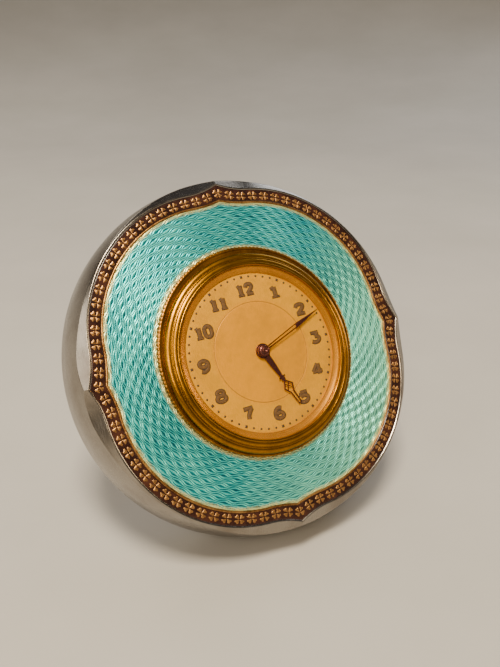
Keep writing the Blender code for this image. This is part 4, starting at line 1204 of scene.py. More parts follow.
@dataclass
class DrumCase(SubAssembly):
    """Silver drum with its polished rim, cusp scoops and rounded back."""

    rim_width: float = 0.8
    rim_height: float = 0.25
    depth: float = 25.8
    front_depth: float = 3.4
    side_depth: float = 17.0
    bulge: float = 1.62
    back_rounding: float = 8.65
    scoop_slope: float = 1.3
    wall: float = 0.9
    ledge: float = 1.2
    inside_room: float = 4.0
    plate_level: float = -1.8
    back_opening: float = 37.23
    back_edge: float = 0.3
    crease_width: float = 0.42
    rib_height: float = 0.13
    rib_width: float = 0.20

    def outer_radius(self, angle: np.ndarray, depth: np.ndarray) -> np.ndarray:
        """Radius of the drum's outside.

        The turned drum swells by bulge (1 - (1 - min(t / 0.42, 1))^1.6) and rounds off behind by
        rounding (1 - sqrt(1 - u^2)), u = (t - 0.55) / 0.45, where t is the share of the depth. The
        scoop is the outline's radius plus slope times depth. The drum is the smaller of both, with
        a softened edge, and a fine rib runs along the line where they meet.

        Args:
            angle: angles as one row.
            depth: depths behind the face as a column.

        Returns:
            Radius for each depth and angle.
        """
        t = depth / self.depth
        u = np.clip((t - 0.55) / 0.45, 0.0, 1.0)
        rim = OUTLINE.lobe_centre + OUTLINE.lobe_radius + self.rim_width
        swell = self.bulge * (1.0 - (1.0 - np.minimum(t / 0.42, 1.0)) ** 1.6)
        drum = rim + swell - self.back_rounding * (1.0 - np.sqrt(1.0 - u**2))
        scoop = OUTLINE.outer(angle) + self.rim_width + self.scoop_slope * depth
        apart = scoop - drum
        soft = np.maximum(self.crease_width - np.abs(apart), 0.0) ** 2 / (4.0 * self.crease_width)
        present = np.clip((rim - OUTLINE.outer(angle) - self.rim_width) / 0.5, 0.0, 1.0)
        rib = self.rib_height * np.exp(-((apart / self.rib_width) ** 2)) * present
        return np.minimum(drum, scoop) - soft * present + rib

    def build(self) -> None:
        """One closed shell: lip, outside, back opening, inside, and the face plate's ledge."""
        angle = OUTLINE.stations()
        outline, opening = OUTLINE.outer(angle), self.back_opening
        s = np.linspace(0.0, 0.86, 9)[:, None]
        lip_height = self.rim_height * np.sin(math.pi * (0.12 + 0.88 * s))
        front = np.linspace(0.0, self.front_depth, 34)
        side = np.linspace(self.front_depth + 0.3, self.side_depth, 16)
        easing = np.sin(np.linspace(0.0, QUARTER, 22))[1:]
        rear = self.side_depth + (self.depth - self.side_depth) * easing
        depth = np.concatenate((front, side, rear))[:, None]
        ledge_level = self.plate_level - self.wall
        inner_depth = np.linspace(self.depth - self.wall, -ledge_level, 8)[:, None]
        inside = self.outer_radius(angle, inner_depth) - self.wall
        rows = (
            (outline + self.rim_width * s, lip_height),
            (self.outer_radius(angle, depth), -depth),
            (opening + self.back_edge, -self.depth),
            (opening, self.back_edge - self.depth),
            (opening, self.wall - self.depth),
            (np.minimum(inside, outline + self.inside_room), -inner_depth),
            (outline - self.ledge, ledge_level),
            (outline - self.ledge, self.plate_level),
            (outline, self.plate_level),
            (outline, 0.0),
        )
        shape = looped(np.concatenate([ring_points(angle, radius, z) for radius, z in rows]))
        silver = self.finishes.silver
        make_piece("silver_drum", shape, FACE, silver, "case_body", floor=True, crease=50.0)


@dataclass
class EnamelledFace(SubAssembly):
    """Border enamel with its flowers, gold fillet and turquoise panel."""

    thickness: float = 0.5
    border_gap: float = 0.02
    fillet_gap: float = 0.1
    fillet_width: float = 0.55
    fillet_top: float = 0.1
    fillet_foot: float = 0.12
    panel_gap: float = 0.75
    panel_inner: float = 26.4
    panel_crown: float = 0.08
    coin_radius: float = 29.4
    flowers: int = 80
    flower_half_size: Span = (1.16, 1.00)
    flower_offset: float = 0.55
    flower_levels: Triple = (-0.2, 0.0, 0.035)
    petal_half: tuple[Span, ...] = (
        (0.17, 0.0), (0.34, 0.14), (0.62, 0.27), (0.90, 0.50),
        (1.10, 0.54), (1.29, 0.34), (1.18, 0.0),
    )
    petal_middle: Span = (0.85, 0.0)
    petal_top_share: float = 0.86

    def build(self) -> None:
        """Build the four pieces of the face."""
        self.build_border()
        self.build_flowers()
        self.build_fillet()
        self.build_panel()

    def build_border(self) -> None:
        """Black-brown border: flat with a small rounded shoulder at both edges."""
        angle = OUTLINE.stations()
        shares = np.array((0.0, 0.02, 0.05, 0.12, 0.5, 0.88, 0.95, 0.98, 1.0))
        tops = -0.10 * np.abs(2 * shares - 1.0) ** 16 - 0.01
        outer, inner = OUTLINE.outer(angle) - self.border_gap, OUTLINE.inner(angle)
        grid = band(outer, inner, -self.thickness, shares, tops)
        make_piece("border_band", looped(grid), FACE, self.finishes.border, "border_enamel")

    def middle_line(self) -> tuple[np.ndarray, np.ndarray]:
        """The line of the flowers' middles.

        Returns:
            Arc lengths round the border, and for each one the point and the outward normal, whose
            direction is smoothed so that a flower on a cusp stays whole.
        """
        fine = np.linspace(0.0, TURN, 14401)
        outer = OUTLINE.outer(fine)
        middle = outer - self.flower_offset * (outer - OUTLINE.inner(fine))
        line = np.column_stack((middle * np.cos(fine), middle * np.sin(fine)))
        arc = np.concatenate(((0.0,), np.cumsum(np.linalg.norm(np.diff(line, axis=0), axis=1))))
        blur = np.ones(121) / 121
        tangent = np.gradient(line, arc, axis=0)
        smooth = [np.convolve(np.r_[t[-61:-1], t, t[1:61]], blur, "valid") for t in tangent.T]
        return arc, np.column_stack((line, -left_of(unit(np.column_stack(smooth)))))

    def build_flowers(self) -> None:
        """Eighty four-petal flowers along the border.

        A petal is a narrow heart: half of it is a spline through a few points along the flower's
        diagonal, and the rest mirrors it. A point (u, v) of a flower lies at arc length s + u along
        the border's middle line and at v along its outward normal.
        """
        arc, line = self.middle_line()
        half, middle = np.array(self.petal_half), np.array(self.petal_middle)
        petal = spline(np.vstack((half, half[1:-1][::-1] * np.array((1.0, -1.0)))), 2, closed=True)
        rings = np.stack((petal, petal, middle + (petal - middle) * self.petal_top_share))
        levels, size = np.array(self.flower_levels)[:, None], np.array(self.flower_half_size)
        shape = Shape()
        for number in range(self.flowers):
            for way in (45.0, 135.0, 225.0, 315.0):
                cos, sin = spoke(math.radians(way))
                turned = rings @ np.array(((cos, sin), (-sin, cos))) * size
                at = (number / self.flowers * arc[-1] + turned[..., 0]) % arc[-1]
                x, y, nx, ny = (np.interp(at, arc, column) for column in line.T)
                v = turned[..., 1]
                grid = np.stack((x + v * nx, y + v * ny, levels + 0 * v), -1)
                shape.add(grid, Cap.FLAT, Cap.FLAT)
        make_piece("border_flowers", shape, FACE, self.finishes.flower)

    def build_fillet(self) -> None:
        """Half-round gold fillet inside the border: z = -foot + (top + foot) sin(pi s)^0.6."""
        outer = OUTLINE.inner(OUTLINE.stations()) - self.fillet_gap * 0.5
        inner = outer - self.fillet_width - self.fillet_gap
        shares = np.linspace(0.0, 1.0, 9)
        arch = np.sin(math.pi * np.clip(shares, 1e-6, 1 - 1e-6)) ** 0.6
        tops = -self.fillet_foot + (self.fillet_top + self.fillet_foot) * arch
        grid = band(outer, inner, -self.thickness, shares, tops)
        make_piece("fillet_band", looped(grid), FACE, self.finishes.fillet, "gold_fillet")

    def build_panel(self) -> None:
        """Turquoise panel with a slight crown, z = -crown (2 s - 1)^4.

        Each point carries its distance from the panel's outer edge and from the coin ring.
        """
        outer = OUTLINE.inner(OUTLINE.stations()) - self.panel_gap
        shares = np.linspace(0.0, 1.0, 40)
        tops = -self.panel_crown * (2 * shares - 1.0) ** 4
        grid = band(outer, self.panel_inner, -self.thickness, shares, tops)
        radius = np.linalg.norm(grid[..., :2], axis=-1)
        values = {"outer_gap": outer - radius, "inner_gap": radius - self.coin_radius}
        shape = Shape().add(grid, loop=True, values=values)
        make_piece("turquoise_panel", shape, FACE, self.finishes.turquoise, "enamel_panel")


@dataclass
class Bezel(SubAssembly):
    """Coin-edged ring, stepped bezel, reflector and crystal."""

    coin_outer: float = 29.4
    coin_inner: float = 26.4
    coin_low: float = 0.1
    coin_high: float = 1.4
    coin_teeth: int = 160
    coin_tooth: float = 0.22
    crystal_radius: float = 24.0
    crystal_low: float = 3.15
    crystal_rise: float = 2.3
    crystal_power: float = 2.4
    crystal_thickness: float = 0.45

    def build(self) -> None:
        """Build the four rings."""
        self.build_coin_ring()
        self.build_bezel()
        self.build_reflector()
        self.build_crystal()

    def build_coin_ring(self) -> None:
        """Ring with a milled edge: r = outer - tooth (1 - |sin(n a / 2)|) on its wall."""
        angle = circle(self.coin_teeth * 8)
        cut = self.coin_tooth * (1.0 - np.abs(np.sin(self.coin_teeth * angle / 2)))
        inner, outer, low, high = self.coin_inner, self.coin_outer, self.coin_low, self.coin_high
        rows = (
            (inner, 0.0, low),
            (outer, 1.0, low),
            (outer, 1.0, high - 0.42),
            (outer - 0.10, 0.8, high - 0.20),
            (outer - 0.36, 0.25, high - 0.04),
            (outer - 0.62, 0.0, high),
            (outer - 0.95, 0.0, high - 0.02),
            (outer - 1.05, 0.0, high - 0.18),
            (inner, 0.0, high - 0.18),
        )
        shape = looped(milled(rows, angle, cut))
        make_piece("coin_edge_ring", shape, FACE, self.finishes.coin, "coin_ring", crease=30.0)

    def build_bezel(self) -> None:
        """Stepped bezel: two rounded steps with a bead between them, rolled over the crystal."""
        s = np.linspace(0.0, QUARTER, 14)
        outer_step = np.column_stack((27.90 - 1.42 * (1 - np.cos(s)), 1.80 + 1.06 * np.sin(s)))
        bead = np.column_stack((26.28 + 0.13 * np.cos(2 * s), 2.92 + 0.15 * np.sin(2 * s)))
        valley = ((26.13, 2.98), (26.02, 3.02))
        inner_step = np.column_stack((26.0 - 1.15 * (1 - np.cos(s)), 3.06 + 0.56 * np.sin(s)))
        crest = np.column_stack((24.48 + 0.36 * np.cos(2 * s[2:]), 3.60 + 0.20 * np.sin(2 * s[2:])))
        inside = ((24.10, 3.56), (24.10, 3.15), (24.70, 3.15))
        foot = ((24.70, 1.50), (27.80, 1.50), (27.90, 1.60))
        profile = np.vstack((outer_step, bead, valley, inner_step, crest, inside, foot))
        shape = looped(lathe(profile, 320))
        make_piece("stepped_bezel", shape, MOVEMENT, self.finishes.bezel, "bezel", crease=32.0)

    def build_reflector(self) -> None:
        """Polished cone from the dial up to the crystal, slightly hollow."""
        s = np.linspace(0.0, 1.0, 10)
        slope = np.column_stack((22.2 + 1.6 * s, 2.45 + 0.60 * s**1.25))
        foot = ((24.6, 3.05), (24.6, 2.3), (22.28, 2.3), (22.2, 2.36))
        shape = looped(lathe(np.vstack((slope, foot)), 256))
        make_piece("reflector_cone", shape, MOVEMENT, self.finishes.reflector, "reflector_ring")

    def build_crystal(self) -> None:
        """Domed glass of even thickness: z = low + rise (1 - s^2.4) over share s of the radius."""
        s = np.linspace(0.02, 1.0, 26)
        dome = self.crystal_low + self.crystal_rise * (1 - s**self.crystal_power)
        upper = np.column_stack((s * self.crystal_radius, dome + self.crystal_thickness))
        lower = np.column_stack((s * self.crystal_radius, dome))[::-1]
        shape = capped(lathe(np.vstack((upper, lower)), 160), Cap.POLE)
        make_piece("domed_crystal", shape, MOVEMENT, self.finishes.glass, "crystal")


DIGIT_STROKES: dict[str, tuple[tuple[int, ...], ...]] = {
    "0": ((-20, 30, 97, 10, 82, 6, 50, 10, 18, 30, 3, 50, 18, 54, 50, 50, 82),),
    "1": ((24, 34, 0, 34, 50, 34, 97), (15, 34, 95, 22, 86, 10, 80), (11, 10, 5, 34, 5, 58, 5)),
    "2": ((20, 7, 68, 14, 90, 32, 96, 50, 86, 51, 66, 36, 42, 12, 12), (18, 5, 9, 30, 9, 58, 9)),
    "3": (
        (17, 6, 91, 30, 91, 55, 91),
        (15, 52, 90, 40, 74, 27, 59),
        (20, 27, 58, 47, 52, 54, 32, 44, 10, 24, 4, 6, 16),
    ),
    "4": ((16, 38, 97, 21, 64, 3, 30), (17, 1, 27, 30, 27, 62, 27), (23, 42, 97, 42, 50, 42, 0)),
    "5": (
        (18, 13, 91, 34, 91, 56, 91),
        (15, 16, 90, 13, 74, 11, 55),
        (20, 11, 55, 32, 62, 52, 50, 53, 24, 38, 6, 20, 4, 5, 15),
    ),
    "6": (
        (20, 50, 88, 34, 96, 15, 80, 7, 50, 10, 20, 28, 4, 48, 12, 54, 32, 44, 52, 26, 54, 12, 42),
    ),
    "7": ((20, 5, 90, 30, 90, 58, 90), (22, 53, 88, 38, 58, 28, 30, 25, 0)),
    "8": (
        (-17, 30, 97, 13, 88, 12, 68, 30, 55, 48, 68, 47, 88),
        (-20, 30, 55, 9, 42, 7, 17, 30, 3, 53, 17, 51, 42),
    ),
    "9": (
        (20, 10, 12, 26, 4, 45, 20, 53, 50, 50, 80, 32, 96, 12, 88, 6, 68, 16, 48, 34, 46, 48, 58),
    ),
}
"""Strokes of each digit in hundredths of its height: the half width, negative where the stroke is
closed, then x and y of each point."""


@dataclass
class Dial(SubAssembly):
    """Gilt dial with its engraved circle, numerals and minute track."""

    radius: float = 24.4
    low: float = 1.7
    high: float = 2.2
    hole: float = 1.9
    edge_from: float = 20.2
    edge_fall: float = 0.10
    circle_radius: float = 14.0
    circle_half_width: float = 0.09
    circle_depth: float = 0.05
    numeral_radius: float = 17.55
    numeral_height: float = 3.15
    numeral_tilt: float = math.radians(1.5)
    squeeze_one: float = 1.68
    squeeze_two: float = 1.30
    digit_advance: float = 0.88
    digit_middle: float = 0.31
    stroke_share: float = 0.84
    stroke_foot: float = 0.05
    stroke_lift: float = 0.004
    outline_more: float = 0.11
    outline_rise: float = 0.03
    fill_less: float = 0.14
    fill_rise: float = 0.075
    track_radius: float = 21.2
    hour_mark: float = 0.54
    minute_mark: float = 0.33

    def build(self) -> None:
        """Build the dial plate, numerals and minute track."""
        self.build_plate()
        self.build_numerals()
        self.build_track()

    def build_plate(self) -> None:
        """Dial plate: a groove at the circle and an edge that falls away outside the track."""
        near_circle = self.circle_radius + np.linspace(-0.3, 0.3, 13)
        radius = np.unique(np.concatenate((np.linspace(self.hole, self.radius, 60), near_circle)))
        groove = np.exp(-(((radius - self.circle_radius) / self.circle_half_width) ** 2))
        fall = self.edge_fall * np.clip((radius - self.edge_from) / 2.0, 0.0, 1.0) ** 2
        top = np.column_stack((radius, self.high - self.circle_depth * groove - fall))
        under = ((self.radius, self.low), (self.hole, self.low))
        shape = looped(lathe(np.vstack((top, under)), 256))
        make_piece("gilt_dial_plate", shape, MOVEMENT, self.finishes.dial, "dial")

    def build_numerals(self) -> None:
        """Upright numerals: each stroke is a ribbon, once wide and low, once narrow and raised."""
        outline, fill = Shape(), Shape()
        for hour in range(1, 13):
            text = str(hour)
            centre = spoke(QUARTER - hour / 12 * TURN, self.numeral_radius)
            squeeze = self.squeeze_two if len(text) == 2 else self.squeeze_one
            start = -self.digit_advance * (len(text) - 1) / 2
            for place, digit in enumerate(text):
                at = start + place * self.digit_advance
                for number, (width, *points) in enumerate(DIGIT_STROKES[digit]):
                    closed, lift = width < 0, self.stroke_lift * number
                    line = spline(np.reshape(points, (-1, 2)) / 100, 5, closed)
                    x = at + (line[:, 0] - self.digit_middle) * squeeze
                    path = np.column_stack((x, line[:, 1] - 0.5)) * self.numeral_height + centre
                    half = abs(width) / 100 * self.stroke_share * self.numeral_height
                    wide, rise = half + self.outline_more, self.outline_rise + lift
                    self.add_stroke(outline, path, wide, rise, closed)
                    narrow, rise = half - self.fill_less, self.fill_rise + lift
                    self.add_stroke(fill, path, narrow, rise, closed)
        axes = MOVEMENT.spun(self.numeral_tilt)
        make_piece("numeral_outlines", outline, axes, self.finishes.outline)
        make_piece("numeral_fills", fill, axes, self.finishes.numeral)

    def add_stroke(
        self, shape: Shape, path: np.ndarray, half: float, rise: float, closed: bool
    ) -> None:
        """Add one stroke of a digit.

        Args:
            shape: where it is added.
            path: its middle line.
            half: its half width.
            rise: how far it stands out of the dial.
            closed: whether it closes on itself.
        """
        cap = Cap.OPEN if closed else Cap.FLAT
        low, high = self.high - self.stroke_foot, self.high + rise
        grid = ribbon(path, np.full(len(path), half), low, high, closed)
        shape.add(grid, cap, cap, loop=closed)

    def build_track(self) -> None:
        """Sixty minute marks: a small round stud, or at each hour a bigger square one."""
        shape = Shape()
        for minute in range(60):
            turn = minute / 60 * TURN
            half, sides = (self.minute_mark, 8) if minute % 5 else (self.hour_mark, 4)
            corners = np.arange(sides) / sides * TURN + turn + math.pi / sides
            ring = np.column_stack((np.cos(corners), np.sin(corners)))
            centre = spoke(turn, self.track_radius)
            rows = ((1.0, self.high - 0.15), (1.0, self.high - 0.01), (0.6, self.high + 0.04))
            grid = layers((centre + ring * half * share, z) for share, z in rows)
            shape.add(grid, Cap.FLAT, Cap.FLAT)
        axes = MOVEMENT.spun(self.numeral_tilt)
        make_piece("minute_track", shape, axes, self.finishes.outline, crease=80.0)


def both(*points: Triple) -> tuple[tuple[Triple, ...], ...]:
    """A stroke of (along, across, half width) and its mirror image."""
    return points, tuple((along, -across, half) for along, across, half in points)


@dataclass
class Hands(SubAssembly):
    """Skeleton hands at eleven minutes past five, and their hub cap.

    A hand's strokes are polylines of (along the hand, across it, half width).
    """

    hour: float = 5.0
    minute: float = 11.3
    thickness: float = 0.25
    stroke_lift: float = 0.002
    hour_level: float = 2.7
    minute_level: float = 3.3
    minute_hub: float = 1.75
    hour_hub: float = 2.1
    minute_bore: float = 1.1
    hour_bore: float = 1.7
    cap_radius: float = 1.5
    cap_low: float = 3.65
    cap_height: float = 0.9
    minute_strokes: tuple[tuple[Triple, ...], ...] = (
        *both((1.3, 0.26, 0.20), (7.0, 0.40, 0.15), (13.4, 0.50, 0.15)),
        ((12.6, 0.0, 0.40), (13.6, 0.0, 0.66), (17.0, 0.0, 0.40), (21.3, 0.0, 0.07)),
    )
    hour_strokes: tuple[tuple[Triple, ...], ...] = (
        ((1.6, 0.0, 0.95), (5.0, 0.0, 0.80), (9.0, 0.0, 0.42)),
        ((9.0, -1.05, 0.20), (9.0, 0.0, 0.28), (9.0, 1.05, 0.20)),
        ((8.8, 0.0, 0.45), (9.8, 0.0, 0.62), (10.2, 0.0, 0.30)),
        *both((10.0, 0.0, 0.19), (12.1, 1.50, 0.19)),
        *both((12.0, 1.50, 0.19), (14.1, 0.48, 0.17)),
        *both((11.0, 0.72, 0.13), (13.0, -0.90, 0.13)),
        *both((14.0, 0.52, 0.17), (17.9, 0.38, 0.15)),
        ((17.75, -0.45, 0.16), (17.75, 0.45, 0.16)),
    )

    def build(self) -> None:
        """Build both hands, at their angles from the dial's top, and the cap."""
        share = self.minute / 60
        minute_axes = MOVEMENT.spun(QUARTER - TURN * share)
        hour_axes = MOVEMENT.spun(QUARTER - TURN * (self.hour + share) / 12)
        hand = self.finishes.hand
        shape = self.skeleton(
            self.minute_strokes, self.minute_level, self.minute_hub, self.minute_bore
        )
        make_piece("minute_hand_skeleton", shape, minute_axes, hand, "minute_hand", "minute_work")
        shape = self.skeleton(self.hour_strokes, self.hour_level, self.hour_hub, self.hour_bore)
        make_piece("hour_hand_skeleton", shape, hour_axes, hand, "hour_hand", "hour_work")
        make_piece("hub_cap_dome", self.cap(), minute_axes, hand, "hand_cap", "minute_work")

    def skeleton(
        self, strokes: Sequence[Sequence[Triple]], level: float, radius: float, bore: float
    ) -> Shape:
        """Flat strokes, each a hair above the last, and a round boss with a bore.

        Args:
            strokes: the hand's strokes.
            level: height of its underside.
            radius: radius of the boss.
            bore: radius of its bore.

        Returns:
            The hand's shape.
        """
        shape = Shape()
        for number, points in enumerate(strokes):
            at = np.arange(len(points))
            t = np.linspace(0.0, at[-1], at[-1] * 6 + 1)
            x, y, half = (np.interp(t, at, column) for column in np.array(points).T)
            low = level + self.stroke_lift * number
            grid = ribbon(np.column_stack((x, y)), half, low, low + self.thickness)
            shape.add(grid, Cap.FLAT, Cap.FLAT)
        low, high = level - 0.05, level + self.thickness + 0.05
        profile = rounded(((bore, low), (radius, low), (radius, high), (bore, high)), 0.09, 4)
        return shape.add(lathe(profile, 64), loop=True)

    def cap(self) -> Shape:
        """Low domed cap over the hub, with a rounded collar round a small dimple.

        Returns:
            Its shape.
        """
        low, top, radius = self.cap_low, self.cap_low + self.cap_height, self.cap_radius
        s = np.linspace(0.0, math.pi, 9)
        collar = np.column_stack((0.62 - 0.20 * np.cos(s), top - 0.20 + 0.20 * np.sin(s)))
        dimple = ((0.08, top - 0.34), (0.30, top - 0.30))
        s = np.linspace(0.55, QUARTER, 12)
        shoulder = np.column_stack((radius * np.sin(s), low + 0.22 + 0.42 * np.cos(s)))
        foot = ((radius, low + 0.05), (radius - 0.05, low), (0.1, low))
        return capped(lathe(np.vstack((dimple, collar, shoulder, foot)), 64), Cap.POLE)


@dataclass
class CaseBack(SubAssembly):
    """Silver back cover, its screws, the gilt cup of the movement and its retaining ring."""

    cover_radius: float = 41.0
    cover_hole: float = 25.7
    cover_front: float = -25.9
    cover_rear: float = -26.7
    cup_radius: float = 25.4
    cup_wall: float = 0.6
    cup_front: float = 1.3
    cup_rear: float = -27.2
    cup_base: float = 0.8
    cup_rounding: float = 0.7
    cup_lines: Triple = (9.0, 20.4, 21.2)
    key_hole: float = 1.6
    knob_hole: float = 0.8
    ring_outer: float = 28.2
    ring_front: float = -26.8
    ring_rear: float = -27.8
    notch: tuple[Span, ...] = ((1.2, -1.3), (1.2, 1.3), (-1.6, 1.3), (-1.6, -1.3))
    screws: int = 4
    screw_radius: float = 1.1
    screw_height: float = 0.5
    screw_turn: float = 0.7

    def build(self) -> None:
        """Build the pieces of the back."""
        self.build_cover()
        self.build_cup()
        self.build_ring()
        for number in range(1, self.screws + 1):
            self.build_screw(number)

    def build_cover(self) -> None:
        """Flat cover between two circles, with an engraved line near its edge.

        A row at share s has radius outer + s (hole - outer), and its centre moves down by s times
        the movement's drop, because the hole's centre lies below the cover's.
        """
        low, high = self.cover_rear, self.cover_front
        edge = ((0.0, high), (0.0, low + 0.25), (0.008, low + 0.10), (0.025, low + 0.01))
        groove = ((0.035, low), (0.075, low), (0.083, low + 0.10), (0.095, low + 0.10))
        flat = ((0.103, low), (0.5, low), (0.96, low))
        rows = (*edge, *groove, *flat, (0.985, low + 0.08), (1.0, low + 0.25), (1.0, high))
        share, height = np.array(rows).T[..., None]
        radius = self.cover_radius + share * (self.cover_hole - self.cover_radius)
        grid = ring_points(circle(320), radius, height)
        grid[..., 1] -= MOVEMENT_DROP * share
        make_piece("back_cover", looped(grid), FACE, self.finishes.silver, "case_back")

    def build_cup(self) -> None:
        """Gilt cup with a rounded edge, engraved rings and holes for key and knob."""
        outer, inner, front = self.cup_radius, self.cup_radius - self.cup_wall, self.cup_front
        rear, bend = self.cup_rear, self.cup_rounding
        s = np.linspace(0.0, QUARTER, 8)
        edge = np.column_stack((outer - bend + bend * np.sin(s), rear + bend - bend * np.cos(s)))
        dent = ((-0.14, 0.0), (0.0, 0.10), (0.14, 0.0))
        lines = [(r + side, rear + deep) for r in self.cup_lines for side, deep in dent]
        wall = ((outer, front - 0.1), (outer - 0.1, front), (inner, front))
        floor = ((inner, rear + self.cup_base), (0.3, rear + self.cup_base))
        profile = np.vstack(((0.3, rear), (5.0, rear), lines, edge, wall, floor))
        cutters = (self.hole("key_hub", self.key_hole), self.hole("setting_knob", self.knob_hole))
        shape, finish = capped(lathe(profile, 256), Cap.POLE), self.finishes.back_gilt
        make_piece("gilt_cup", shape, MOVEMENT, finish, "movement_case", cutters=cutters)

    def hole(self, node: str, radius: float) -> Shape:
        """Round cutter through the cup's floor, behind the middle of a CAD node."""
        x, y, _ = MOVEMENT.middle_of(node)
        rows = np.array(((radius, self.cup_rear - 1.0), (radius, self.cup_rear + 2.0)))
        return capped(lathe(rows, 32) + np.array((x, y, 0.0)))

    def build_ring(self) -> None:
        """Retaining ring with bevelled edges and four key notches."""
        inner, outer, low, high = self.cover_hole, self.ring_outer, self.ring_rear, self.ring_front
        cutters = []
        for turn in (np.arange(4) + 0.5) * QUARTER:
            along = spoke(turn)
            across = np.array((-along[1], along[0]))
            outline = np.array([outer * along + u * along + v * across for u, v in self.notch])
            cutters.append(capped(plate(outline, low - 1.0, low + 0.55, 0.01)))
        profile = rounded(((inner, low), (outer, low), (outer, high), (inner, high)), 0.28, 5)
        shape, finish = looped(lathe(profile, 256)), self.finishes.back_gilt
        make_piece("locking_ring", shape, MOVEMENT, finish, "retaining_ring", cutters=cutters)

    def build_screw(self, number: int) -> None:
        """Cheese-head screw with a domed top and a slot, turned by its own angle.

        Args:
            number: number of the screw.
        """
        node, radius, height = f"back_screw_{number}", self.screw_radius, self.screw_height
        head = FACE.middle_of(node) + np.array((0.0, 0.0, height / 2))
        axes = FACE.moved(head).spun(self.screw_turn * number)
        s = np.linspace(0.12, 1.0, 8)
        dome = np.column_stack((s * (radius - 0.06), -height + 0.10 * s**2))
        wall = ((radius, 0.17 - height), (radius, 0.0), (0.1, 0.0))
        slot = np.array(((-2.0, -0.16), (2.0, -0.16), (2.0, 0.16), (-2.0, 0.16)))
        cutters = (capped(plate(slot, -1.5, 0.30 - height, 0.005)),)
        shape = capped(lathe(np.vstack((dome, wall)), 48), Cap.POLE)
        make_piece(f"cover_screw_{number}", shape, axes, self.finishes.steel, node, cutters=cutters)


@dataclass
class KeyAndKnob(SubAssembly):
    """Winding key with its folding bow, and the fluted setting knob."""

    hub_radius: float = 2.6
    hub_height: float = 2.4
    bow_radius: float = 5.0
    bow_tube: float = 0.7
    bow_seat: float = 0.9
    bow_shoulder: float = 3.4
    bow_turns: tuple[float, ...] = (104.0, 126.0, 153.0, 180.0, 207.0, 234.0, 256.0)
    knob_radius: float = 3.6
    knob_height: float = 2.8
    flutes: int = 18
    flute_depth: float = 0.3

    def build(self) -> None:
        """Build hub, bow and knob."""
        key_axes = MOVEMENT.moved(MOVEMENT.middle_of("key_hub"))
        knob_axes = MOVEMENT.moved(MOVEMENT.middle_of("setting_knob"))
        for name, shape, axes, node, body in (
            ("key_hub_turned", self.hub(), key_axes, "key_hub", "winding_work"),
            ("key_bow_wire", self.bow(), key_axes, "key_bow", "key_bow_body"),
            ("setting_knob_fluted", self.knob(), knob_axes, "setting_knob", "setting_work"),
        ):
            make_piece(name, shape, axes, self.finishes.back_gilt, node, body)

    def hub(self) -> Shape:
        """Turned hub: a waist between two beads and a domed end.

        Returns:
            Its shape.
        """
        half, r = self.hub_height / 2, self.hub_radius
        head = ((r - 0.5, half), (r - 0.1, half), (r, half - 0.35), (r - 0.35, half - 0.6))
        end = ((r, 0.30 - half), (r - 0.15, 0.12 - half), (r - 0.9, 0.02 - half))
        beads = rounded((*head, (r - 0.35, 0.35 - half), *end), 0.18, 4, closed=False)
        profile = np.vstack(((0.2, half), beads, (0.2, -half)))
        return capped(lathe(profile, 72), Cap.POLE)

    def bow(self) -> Shape:
        """Round wire bent to a half ring, its ends turned in to the hub.

        Returns:
            Its shape.
        """
        pin, bend = self.hub_radius - self.bow_seat, self.bow_radius - self.bow_tube + 0.15
        ends = np.array(((0.0, pin, 0.0), (0.0, self.bow_shoulder, 0.0), (-0.25, bend, 0.0)))
        turns = np.radians(self.bow_turns)
        arc = self.bow_radius * np.column_stack((np.cos(turns), np.sin(turns), 0.0 * turns))
        path = np.vstack((ends, arc, ends[::-1] * np.array((1.0, -1.0, 1.0))))
        return capped(tube(spline(path, 6), self.bow_tube, 20))

    def knob(self) -> Shape:
        """Fluted knob: r = radius - depth |sin(n a / 2)|^0.8 on its wall, with a dished end.

        Returns:
            Its shape.
        """
        angle = circle(self.flutes * 12)
        cut = self.flute_depth * np.abs(np.sin(self.flutes * angle / 2)) ** 0.8
        half, r = self.knob_height / 2, self.knob_radius
        front = ((0.4, 0.0, half), (r - 0.6, 0.0, half), (r - 0.2, 0.6, half - 0.08))
        wall = ((r, 1.0, half - 0.35), (r, 1.0, 0.45 - half))
        bend = ((r - 0.12, 0.9, 0.18 - half), (r - 0.45, 0.4, 0.03 - half), (r - 0.9, 0.0, -half))
        dish = ((r - 1.3, 0.0, 0.02 - half), (r - 1.5, 0.0, 0.25 - half))
        middle = ((1.0, 0.0, 0.32 - half), (0.3, 0.0, 0.2 - half))
        return capped(milled((*front, *wall, *bend, *dish, *middle), angle, cut), Cap.POLE)


